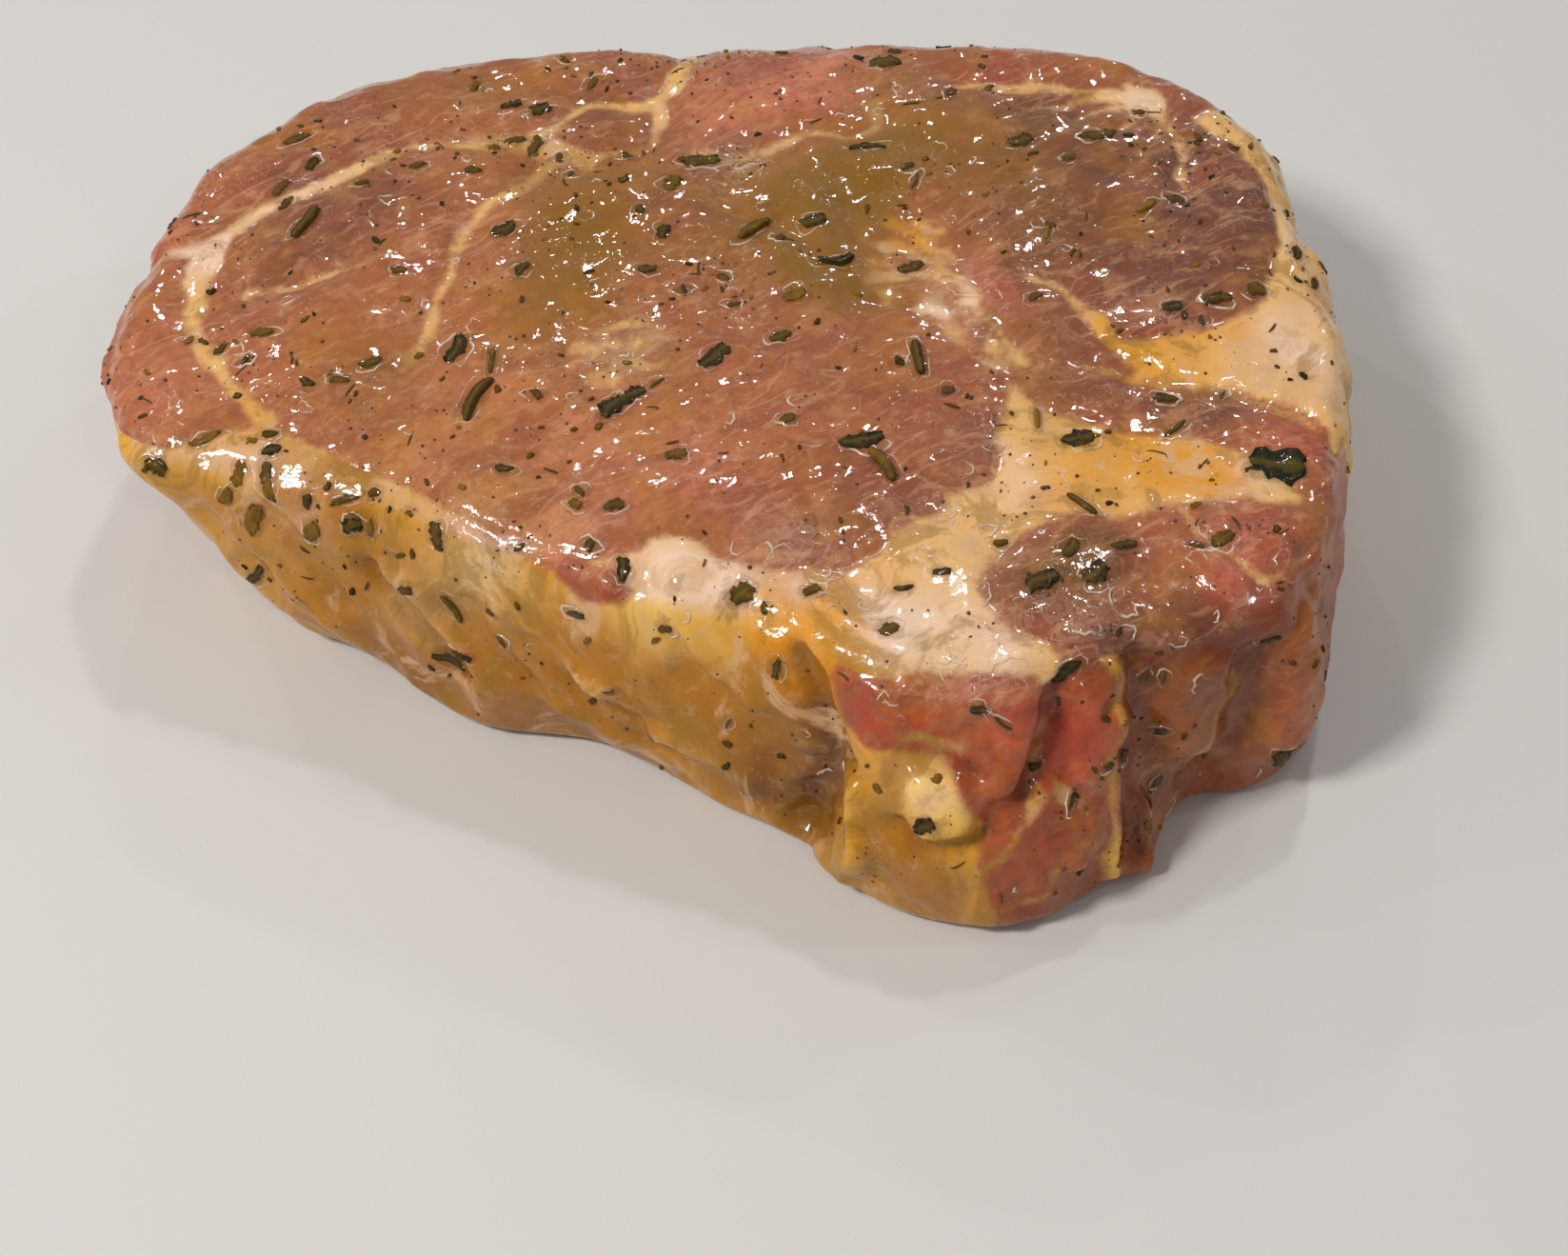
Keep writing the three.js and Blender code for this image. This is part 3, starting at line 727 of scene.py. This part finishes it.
def leaf(spot, normal, turn, length, width):
    """A torn scrap of leaf with a raised midrib, its ragged edges curled."""
    rows, cols = (9, 6) if length > 2.4 else (4, 3)
    flat, lift, rib = [], [], []
    ends = dice.uniform(0.15, 0.8, 2)
    ragged = dice.uniform(0.55, 1.15, (rows + 1, 2))
    bend = dice.uniform(-0.12, 0.12) * length
    curl = dice.uniform(0.0, 0.3)
    for i in range(rows + 1):
        u = 2 * i / rows - 1
        half = width / 2 * (1 - (1 - ends[int(u > 0)]) * abs(u) ** 2.5)
        for j in range(cols + 1):
            v = 2 * j / cols - 1
            flat.append((u * length / 2 + dice.uniform(-0.06, 0.06) * length,
                         v * half * ragged[i, int(v > 0)] + bend * u * u))
            lift.append(0.10 + 0.12 * width * curl * v * v + dice.uniform(-0.09, 0.09) * min(width, 2)
                        + 0.06 * width * max(0, 1 - 4 * abs(v)))
            rib.append(abs(v) + dice.uniform(-0.1, 0.1))
    axes = bed(spot, normal, turn)
    over_skin, under_skin = 0.16, 0.25
    upper = draped(spot, axes, flat, [h + over_skin for h in lift])
    lower = draped(spot, axes, flat, [h - under_skin for h in lift])
    step = cols + 1
    faces = []
    for i in range(rows):
        for j in range(cols):
            k = i * step + j
            faces.append((k, k + 1, k + step + 1, k + step))
            faces.append(tuple(len(flat) + n for n in (k, k + step, k + step + 1, k + 1)))
    ring = [j for j in range(step)] + [i * step + cols for i in range(1, rows + 1)]
    ring += [rows * step + j for j in range(cols - 1, -1, -1)] + [i * step for i in range(rows - 1, 0, -1)]
    for a, b in zip(ring, ring[1:] + ring[:1]):
        faces.append((a, len(flat) + a, len(flat) + b, b))
    return upper + lower, faces, rib + rib


def stalk(spot, normal, turn, length, width):
    """A bent stalk with ribs along it."""
    axes = bed(spot, normal, turn)
    rows, sides = max(4, int(length * 1.6)), 8
    bend = dice.uniform(-0.12, 0.12) * length
    flat, lift, rib = [], [], []
    for i in range(rows + 1):
        u = 2 * i / rows - 1
        reach = width / 2 * (1 - 0.5 * abs(u) ** 6) * dice.uniform(0.88, 1.08)
        for k in range(sides):
            angle = 2 * math.pi * k / sides
            out_by = reach * (1 if k % 2 else 0.74)
            flat.append((u * length / 2, bend * u * u + out_by * math.cos(angle)))
            lift.append(0.22 * width + 0.62 * out_by * math.sin(angle))
            rib.append(1.0 if k % 2 else 0.0)
    places = draped(spot, axes, flat, lift)
    faces = [tuple(range(sides))[::-1], tuple(rows * sides + k for k in range(sides))]
    for i in range(rows):
        for k in range(sides):
            n = (k + 1) % sides
            faces.append((i * sides + k, i * sides + n, (i + 1) * sides + n, (i + 1) * sides + k))
    return places, faces, rib


def joined(name, parts):
    """One mesh from many (points, faces, ribs, shade), with rib and shade kept on every point."""
    places, faces, ribs, shades = [], [], [], []
    for part_points, part_faces, rib, shade in parts:
        faces += [tuple(len(places) + k for k in f) for f in part_faces]
        places += [tuple(Vector(p) * MM) for p in part_points]
        ribs += rib if rib else [0.5] * len(part_points)
        shades += [shade] * len(part_points)
    mesh = bpy.data.meshes.new(name)
    mesh.from_pydata(places, [], faces)
    mesh.validate()
    for key, values in (("shade", shades), ("rib", ribs)):
        layer = mesh.attributes.new(key, "FLOAT", "POINT")
        layer.data.foreach_set("value", np.array(values, np.float32))
    for polygon in mesh.polygons:
        polygon.use_smooth = True
    piece = bpy.data.objects.new(name, mesh)
    bpy.context.scene.collection.objects.link(piece)
    return piece


# The large ones on the cut face, as (x, y, turn, length, width, shade). Shade runs from green
# black, 0, through brown, 0.5, to straw yellow, 1.
LEAVES_ON_TOP = [
    (74, -24, -8, 7.2, 6.2, 0.05), (18, -21.5, 15, 6, 3.4, 0.12), (47.5, -20, 20, 4.4, 3.8, 0.15),
    (-33, 21.5, 30, 3.6, 3.0, 0.2), (23, 61.5, 10, 4.6, 3.4, 0.3), (55, 43, 28, 6, 2.6, 0.3),
    (43, 41.5, 15, 3.6, 2.4, 0.3), (20, 41, 0, 5, 1.4, 0.1), (-5, 38, 20, 6, 3.2, 0.35),
    (-10, 21, 80, 2.6, 2.2, 0.15), (-9, 32, 70, 3.2, 2.4, 0.7), (-29.5, 50, 20, 3.0, 2.4, 0.0),
    (-34, 51, 20, 3.2, 2.0, 0.15), (-33, 43.5, 10, 3.0, 1.6, 0.4), (-30, 41.5, 60, 3.2, 1.6, 0.3),
    (-36, 42, 0, 1.8, 1.2, 0.5), (-66, 44, 30, 4.2, 1.4, 0.5), (-67, 33, 55, 3.4, 1.4, 0.5),
    (-63, 38, 70, 2.4, 1.6, 0.2), (-47, 36, 20, 2.4, 1.6, 0.6), (-38.5, 34.5, 10, 2.4, 1.6, 0.5),
    (-66, 2, 10, 3.2, 1.6, 0.5), (-72, 0, 40, 2, 1.2, 0.5), (-47.5, 12.5, 20, 2, 1.4, 0.6),
    (-38, -3, 80, 5.6, 2.8, 0.1), (-12, 12.5, 30, 2.6, 1.8, 0.3), (-30, 12, 70, 3.4, 1.6, 0.3),
    (65, 29, 10, 2.6, 2.0, 0.4), (26, 15, 30, 3.8, 2.4, 0.3), (9, 7, 20, 3.2, 2.2, 0.7),
    (7, -1.5, 40, 3.2, 2.2, 0.4), (69, 8, 10, 4.0, 2.0, 0.3), (75, 10, 20, 2.6, 2.4, 0.5),
    (62.5, 6, 20, 3.0, 1.5, 0.1), (43, 7.5, 40, 2.2, 1.4, 0.4), (82, 19.5, 80, 3.6, 1.8, 0.0),
    (-2, -6, 50, 5, 2.8, 0.15), (60, -11, 5, 3.2, 1.8, 0.3), (-16, -15, 60, 5.0, 3.4, 0.0),
    (-13, -12, 30, 3, 2.2, 0.1), (-7, -24, 20, 3.0, 2.0, 0.5), (-15, -33, 10, 2.6, 2.0, 0.4),
    (-30, -26, 0, 2.4, 1.4, 0.3), (-51, -28.5, 10, 2.8, 2.2, 0.05), (-52, -26.5, 15, 4.0, 1.0, 0.5),
    (-59, -29.5, 80, 2.4, 1.6, 0.05), (-66, -24, 75, 4.8, 2.6, 0.8), (-62.8, -24, 100, 4.2, 1.8, 0.85),
    (-72, -16.5, 25, 4.6, 1.2, 0.75), (-62.5, -19, 10, 2.6, 1.6, 0.1), (-63, -16.5, 0, 2.2, 1.2, 0.2),
    (-79, -20.5, -30, 3.2, 2.4, 0.3), (-39, -33.5, 100, 3.6, 2.2, 0.3),
    (-13.5, -42.3, 92, 3.6, 2.0, 0.05), (2, -47, 40, 3.2, 2.8, 0.65), (11, -47, 30, 2.2, 1.6, 0.6),
    (21, -53, 30, 2.8, 2.0, 0.6), (28, -44, 5, 2.4, 1.2, 0.0), (65, -38, 30, 3.4, 2.6, 0.6),
    (41, -45, 20, 4.4, 3.2, 0.1), (48, -44, 40, 3.8, 3.0, 0.1), (52, -39.5, 10, 3.2, 1.6, 0.15),
    (45, -40, 60, 3.4, 2.2, 0.5), (36, -38, 10, 2, 1.4, 0.5), (12, 24, 30, 4, 2.8, 0.3),
    (50, 37, 20, 2, 1.4, 0.4), (-66, 29.5, 60, 3, 1.4, 0.5), (33, 54, 70, 2.6, 1.3, 0.5),
    (-22, 57, 60, 2.6, 1.2, 0.5), (-40, 56, 80, 2.6, 1.2, 0.5), (-55, 33, 20, 2, 1.2, 0.5),
    (84, 14, 80, 2.4, 1.2, 0.3), (-50, -5, 30, 3.2, 1.6, 0.5), (-54, -8.5, 0, 2.6, 1.0, 0.5),
    (30, -12, 20, 1.8, 1.6, 0.3), (8, -18, 40, 2, 1.4, 0.6),
]
STALKS_ON_TOP = [
    (-62, 23.5, 66, 7, 2.0, 0.45), (3, 22, 52, 7, 2.0, 0.7), (60.5, 26, 50, 4, 1.3, 0.85),
    (15, 15.5, 18, 5.6, 1.6, 0.2), (26, -6, 98, 6.2, 2.0, 0.3), (61, -17, 40, 3.8, 0.8, 0.4),
    (21, -26, -62, 6.4, 2.0, 0.65), (47, -32, -42, 5, 1.1, 0.45), (-35, -13, 66, 8, 2.0, 0.3),
    (-33, -6, 88, 5, 0.9, 0.6), (23, -46.5, 5, 2.6, 0.9, 0.2), (42, -16, 90, 3.4, 1.1, 0.85),
    (27, 33, 70, 2.8, 0.6, 0.2), (45.5, 20.5, 80, 2.8, 0.8, 0.8), (-10, -10, 40, 2.4, 0.6, 0.4),
    (68, -10, 70, 2.4, 0.5, 0.4),
]
# The same on the front wall, placed by (x, z).
LEAVES_ON_WALL = [
    (-57, 30, 40, 3.0, 2.4, 0.6), (-51, 33, 60, 2.6, 1.2, 0.7), (-48.5, 33, 80, 2.6, 1.2, 0.75),
    (-44, 26.5, 0, 2.2, 1.4, 0.4), (-67, 35, 70, 3.6, 2.2, 0.75), (-63, 36, 80, 3.0, 1.8, 0.6),
    (-69, 32, 60, 2.6, 1.8, 0.75), (-67, 17, 55, 5, 1.6, 0.2), (-37, 17, -20, 3, 1.5, 0.3),
    (-39, 13, -25, 5, 1.4, 0.25), (-8, 34, 10, 1.8, 1.2, 0.4), (25.5, 21.5, 30, 2.8, 2.4, 0.25),
    (43.5, 36.5, 30, 4.4, 2.6, 0.2), (40, 24.5, 20, 1.8, 1.4, 0.1), (76, 9, 75, 5.4, 3.6, 0.25),
    (-20, 32, 10, 2.8, 1.0, 0.3), (32, 36, 10, 2, 1.3, 0.3), (54, 32, 40, 1.6, 1, 0.3),
    (71, 32, 20, 2, 1.1, 0.4), (-32, 27, 10, 1.4, 1, 0.5), (6.5, 33, 80, 3.2, 1.1, 0.5),
    (-10, 11.5, 50, 2.4, 1.6, 0.45), (58, 11, 80, 1.8, 1.4, 0.5), (50, 22, 30, 1.4, 1.0, 0.3),
]
STALKS_ON_WALL = [
    (-37.5, 24, -60, 5, 1.1, 0.6), (35, 34, -45, 3.4, 0.6, 0.3), (45, 19, 70, 2, 0.7, 0.2),
    (57, 31, 80, 2.0, 0.5, 0.3), (0, 20, 70, 1.8, 0.5, 0.3), (-16, 21, 20, 1.8, 0.5, 0.4),
]
beds = []
herbs = []
for shape, where, things in ((leaf, on_top, LEAVES_ON_TOP), (stalk, on_top, STALKS_ON_TOP),
                             (leaf, on_wall, LEAVES_ON_WALL), (stalk, on_wall, STALKS_ON_WALL)):
    for x, across, turn, length, width, shade in things:
        spot, normal = where(x, across)
        beds.append((spot, normal, turn, length, width))
        herbs.append((*shape(spot, normal, turn, length, width), shade + dice.uniform(-0.08, 0.14)))

# Scattered small scraps, crowded in some places and sparse in others.
meat.data.calc_loop_triangles()
corners = np.empty(len(meat.data.loop_triangles) * 3, int)
meat.data.loop_triangles.foreach_get("vertices", corners)
corners = points[corners].reshape(-1, 3, 3)
facets = np.cross(corners[:, 1] - corners[:, 0], corners[:, 2] - corners[:, 0])
areas = np.linalg.norm(facets, axis=1) / 2
outward = facets / (2 * areas[:, None] + 1e-12)
centres = corners.mean(1)
crowd = np.clip(0.55 + 0.7 * ripple(centres, 30, 21) + 0.5 * ripple(centres, 9, 22), 0.05, None)
LOWEST = 2.5
chance = areas * crowd * (centres[:, 2] > LOWEST)
chance *= np.where(outward[:, 2] > 0.5, 1.0, 0.55) * (outward[:, 2] > -0.4)
chance /= chance.sum()


def scattered(count):
    """Random spots on the skin, with the way it faces there."""
    for k in dice.choice(len(chance), count, p=chance):
        shares = dice.dirichlet((1, 1, 1))
        yield Vector(shares @ corners[k]), Vector(outward[k])


SCRAPS, STALK_BITS = 330, 60
for spot, normal in scattered(SCRAPS):
    length = 0.7 + 1.3 * dice.random() ** 2
    shade = dice.choice([0.1, 0.3, 0.5, 0.6, 0.8])
    herbs.append((*leaf(spot, normal, dice.uniform(0, 180), length, length * dice.uniform(0.4, 0.8)), shade))
    if length > 1.7:
        beds.append((spot, normal, 0, length, length * 0.6))
for spot, normal in scattered(STALK_BITS):
    turn, length, width = dice.uniform(0, 180), dice.uniform(1.2, 2.8), dice.uniform(0.25, 0.5)
    herbs.append((*stalk(spot, normal, turn, length, width), 0.5))
herb_piece = joined("herbs", herbs)

# Fine grain: the mask and the relief of a small dry crumb under its wet coat. Herb, pepper
# and marinade each place it with their own scale and depth.
fine_grain = bpy.data.node_groups.new("fine_grain", "ShaderNodeTree")
GRAIN_INPUTS = (("Scale", 1000.0), ("Detail", 2.0), ("Roughness", 0.5), ("Distortion", 0.0), ("Depth", 0.1))
fine_grain.interface.new_socket("Place", in_out="INPUT", socket_type="NodeSocketVector")
for socket, value in GRAIN_INPUTS:
    made = fine_grain.interface.new_socket(socket, in_out="INPUT", socket_type="NodeSocketFloat")
    made.default_value = value
fine_grain.interface.new_socket("Mask", in_out="OUTPUT", socket_type="NodeSocketFloat")
fine_grain.interface.new_socket("Normal", in_out="OUTPUT", socket_type="NodeSocketVector")
w = Wiring(fine_grain)
given = w.node("NodeGroupInput").outputs
kept = w.node("NodeGroupOutput").inputs
speck = w.node("ShaderNodeTexNoise")
w.link(given["Place"], speck.inputs["Vector"])
for socket, _ in GRAIN_INPUTS[:-1]:
    w.link(given[socket], speck.inputs[socket])
w.link(speck.outputs["Fac"], kept["Mask"])
w.link(w.relief((speck.outputs["Fac"], given["Depth"])), kept["Normal"])


def grained(wiring, place, *values):
    """The fine grain placed in a material: its mask and its normal."""
    made = wiring.node("ShaderNodeGroup", node_tree=fine_grain)
    wiring.link(place, made.inputs["Place"])
    for (socket, _), value in zip(GRAIN_INPUTS, values):
        made.inputs[socket].default_value = value
    return made.outputs["Mask"], made.outputs["Normal"]


dried = bpy.data.materials.new("wet_dried_herb")
dried.use_nodes = True
w = Wiring(dried.node_tree)
surface = dried.node_tree.nodes["Principled BSDF"]
place = w.node("ShaderNodeTexCoord").outputs["Object"]
veins, crumpled = grained(w, place, 1800, 3, 0.6, 1.0, 0.12)
blotch = w.noise(place, 700, 2, 0.5)
shade = w.math("ADD", w.attribute("shade"), w.math("MULTIPLY", w.math("SUBTRACT", blotch, 0.5), 0.9))
tone = w.mix(w.span(shade, 0.05, 0.45), (0.009, 0.013, 0.006), (0.085, 0.046, 0.007))
tone = w.mix(w.span(shade, 0.45, 1.0), tone, (0.28, 0.14, 0.006))
tone = w.mix(w.span(w.attribute("rib"), 0.1, 0.5, 0.45, 0.0), tone, (0.17, 0.115, 0.012))
tone = w.mix(w.span(veins, 0.52, 0.7, 0.0, 0.4), tone, (0.10, 0.062, 0.008))
w.link(tone, surface.inputs["Base Color"])
w.link(crumpled, surface.inputs["Normal"])
surface.inputs["Roughness"].default_value = 0.5
surface.inputs["Specular IOR Level"].default_value = 0.1
surface.inputs["Coat Weight"].default_value = 0.2
surface.inputs["Coat Roughness"].default_value = 0.08
surface.inputs["Coat IOR"].default_value = 1.35
herb_piece.data.materials.append(dried)
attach(herb_piece, "root")


# Pepper and spice: cracked black pepper and crumbs of brown spice, grit that stuck where it
# fell. Each grain is a broken lump half sunk in the wet skin.

lump_mesh = bmesh.new()
bmesh.ops.create_icosphere(lump_mesh, subdivisions=1, radius=1)
LUMP = np.array([v.co[:] for v in lump_mesh.verts])
LUMP_FACES = [tuple(v.index for v in f.verts) for f in lump_mesh.faces]
lump_mesh.free()


def grain_at(spot, normal, size):
    """The points of one lump, its lower half in the skin."""
    along, across, out = (np.array(a) for a in bed(spot, normal, dice.uniform(0, 360)))
    broken = LUMP * dice.uniform(0.6, 1.15, (len(LUMP), 1)) * size / 2 * dice.uniform(0.55, 1.2, 3)
    height = 0.6 * broken[:, 2:] + 0.12 * size
    return np.array(spot) + broken[:, :1] * along + broken[:, 1:2] * across + height * out


GRAINS = 1900
GRAIN_SHADES = [0.0, 0.1, 0.3, 0.6, 1.0]
grit = []
for spot, normal in scattered(GRAINS):
    size = 0.24 + 0.62 * dice.random() ** 2.2
    grit.append((grain_at(spot, normal, size), LUMP_FACES, None, dice.choice(GRAIN_SHADES)))
spice_piece = joined("pepper_and_spice", grit)

cracked = bpy.data.materials.new("cracked_pepper")
cracked.use_nodes = True
w = Wiring(cracked.node_tree)
surface = cracked.node_tree.nodes["Principled BSDF"]
place = w.node("ShaderNodeTexCoord").outputs["Object"]
rough, pitted = grained(w, place, 2500, 2, 0.5, 0.0, 0.08)
tone = w.mix(w.attribute("shade"), (0.013, 0.009, 0.007), (0.16, 0.062, 0.012))
tone = w.mix(w.span(rough, 0.5, 0.75, 0.0, 0.5), tone, (0.10, 0.055, 0.02))
w.link(tone, surface.inputs["Base Color"])
w.link(pitted, surface.inputs["Normal"])
surface.inputs["Roughness"].default_value = 0.45
surface.inputs["Coat Weight"].default_value = 0.6
surface.inputs["Coat Roughness"].default_value = 0.1
spice_piece.data.materials.append(cracked)
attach(spice_piece, "root")


# Marinade: thin oil that beads on the meat. It stands as small clear pools with a steep rounded
# shore, round the larger herbs and wherever it has gathered. Where a pool has drained or set, its
# wavy edge is left standing, coloured pale: partly milky set marinade, partly a painted highlight.


def wavy(angle, phases, waves):
    """How far out a wavy loop runs at an angle. Each wave is (number round the loop, depth)."""
    return 1 + sum(depth * math.sin(count * angle + phase) for (count, depth), phase in zip(waves, phases))


def bead(spot, normal, turn, length, width, height):
    """A pool of marinade: a low dome with a steep wavy shore."""
    axes = bed(spot, normal, turn)
    sides, rings = max(12, int(3 * (length + width))), 4
    wobble = dice.uniform(-1, 1, 3)
    flat, lift = [(0, 0)], [height]
    for ring in range(1, rings + 1):
        share = (ring / rings) ** 0.6
        for k in range(sides):
            angle = 2 * math.pi * k / sides
            wave = share * wavy(angle, 6 * wobble, ((2, 0.16), (3, 0.12), (5, 0.08)))
            flat.append((wave * length / 2 * math.cos(angle), wave * width / 2 * math.sin(angle)))
            lift.append(height * math.sqrt(max(1 - share ** 3, 0)) - (0.08 if ring == rings else 0))
    places = draped(spot, axes, flat, lift)
    faces = [(0, 1 + k, 1 + (k + 1) % sides) for k in range(sides)]
    for ring in range(rings - 1):
        a, b = 1 + ring * sides, 1 + (ring + 1) * sides
        faces += [(a + k, b + k, b + (k + 1) % sides, a + (k + 1) % sides) for k in range(sides)]
    # Its underside lies just below the skin and closes it.
    count, below_skin = len(flat), 0.2
    under = draped(spot, axes, flat, [-below_skin] * count)
    faces += [tuple(count + k for k in face[::-1]) for face in faces]
    edge = 1 + (rings - 1) * sides
    for k in range(sides):
        a, b = edge + k, edge + (k + 1) % sides
        faces.append((a, count + a, count + b, b))
    return places + under, faces


def rim(spot, normal, turn, length, width, sweep):
    """The raised edge of a film of marinade: part of a wavy loop with a round back."""
    axes = bed(spot, normal, turn)
    count, across = max(8, int(2.2 * (length + width) * sweep)), 5
    first, wobble = dice.uniform(0, 2 * math.pi), dice.uniform(0, 6, 3)
    reach = dice.uniform(0.14, 0.26)
    flat, lift = [], []
    for i in range(count + 1):
        angle = first + 2 * math.pi * sweep * i / count
        wave = wavy(angle, wobble, ((2, 0.20), (3, 0.14), (6, 0.12)))
        taper = reach * (0.25 + 0.75 * max(math.sin(math.pi * i / count), 0) ** 0.5)
        for j in range(across):
            lean_out = math.cos(math.pi * j / (across - 1))
            flat.append(((wave * length / 2 + taper * lean_out) * math.cos(angle),
                         (wave * width / 2 + taper * lean_out) * math.sin(angle)))
            lift.append(1.3 * taper * math.sin(math.pi * j / (across - 1)) - 0.03)
    faces = [tuple(range(across)), tuple(count * across + j for j in range(across - 1, -1, -1))]
    for i in range(count):
        for j in range(across):
            k = (j + 1) % across
            faces.append((i * across + j, (i + 1) * across + j, (i + 1) * across + k, i * across + k))
    return draped(spot, axes, flat, lift), faces


LOOSE_BEADS, LOOSE_RIMS = 150, 130
# Clear beads, and pale rims whose colour is partly milky marinade and partly a painted highlight.
CLEAR, MILKY_AND_GLINT = 0.0, 1.0
beads = []
for spot, normal, turn, length, width in beds:
    height = dice.uniform(0.28, 0.42)
    beads.append((*bead(spot, normal, turn, length + 1.6, width + 1.5, height), None, CLEAR))
    sweep = dice.uniform(0.45, 0.95)
    beads.append((*rim(spot, normal, turn, length + 1.5, width + 1.4, sweep), None, MILKY_AND_GLINT))
for spot, normal in scattered(LOOSE_BEADS):
    size = 0.8 + 2.6 * dice.random() ** 2
    turn, height = dice.uniform(0, 180), 0.10 + 0.07 * size
    beads.append((*bead(spot, normal, turn, size * 1.5, size, height), None, CLEAR))
for spot, normal in scattered(LOOSE_RIMS):
    size = dice.uniform(0.8, 2.4)
    turn, sweep = dice.uniform(0, 180), dice.uniform(0.3, 0.9)
    beads.append((*rim(spot, normal, turn, size * 1.4, size, sweep), None, MILKY_AND_GLINT))
for x, y, z, reach, strength in GEL:
    for _ in range(int(0.26 * strength * reach ** 1.7)):
        spot, normal = on_top(x + dice.normal(0, 0.5 * reach), y + dice.normal(0, 0.5 * reach))
        size = dice.uniform(0.9, 3.2)
        turn, sweep = dice.uniform(0, 180), dice.uniform(0.3, 0.95)
        beads.append((*rim(spot, normal, turn, size * 1.5, size, sweep), None, MILKY_AND_GLINT))
bead_piece = joined("marinade_beads", beads)

oil = bpy.data.materials.new("marinade_oil")
oil.use_nodes = True
w = Wiring(oil.node_tree)
surface = oil.node_tree.nodes["Principled BSDF"]
place = w.node("ShaderNodeTexCoord").outputs["Object"]
cloudy = w.noise(place, 400, 3, 0.6)
# The pale rims: partly milky set marinade, partly painted highlight.
milk_and_glint_tone = w.mix(w.span(cloudy, 0.35, 0.65), (0.97, 0.88, 0.74), (0.90, 0.72, 0.50))
w.link(w.mix(w.attribute("shade"), (0.22, 0.10, 0.01), milk_and_glint_tone), surface.inputs["Base Color"])
milk_and_glint_alpha = w.span(w.noise(place, 260, 2), 0.44, 0.60, -0.04, 0.52)
w.link(w.math("ADD", 0.14, w.math("MULTIPLY", w.attribute("shade"), milk_and_glint_alpha)), surface.inputs["Alpha"])
_, dimpled = grained(w, place, 500, 2, 0.5, 0.0, 0.05)
w.link(dimpled, surface.inputs["Normal"])
surface.inputs["Roughness"].default_value = 0.04
surface.inputs["IOR"].default_value = 2.1
bead_piece.data.materials.append(oil)
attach(bead_piece, "root")
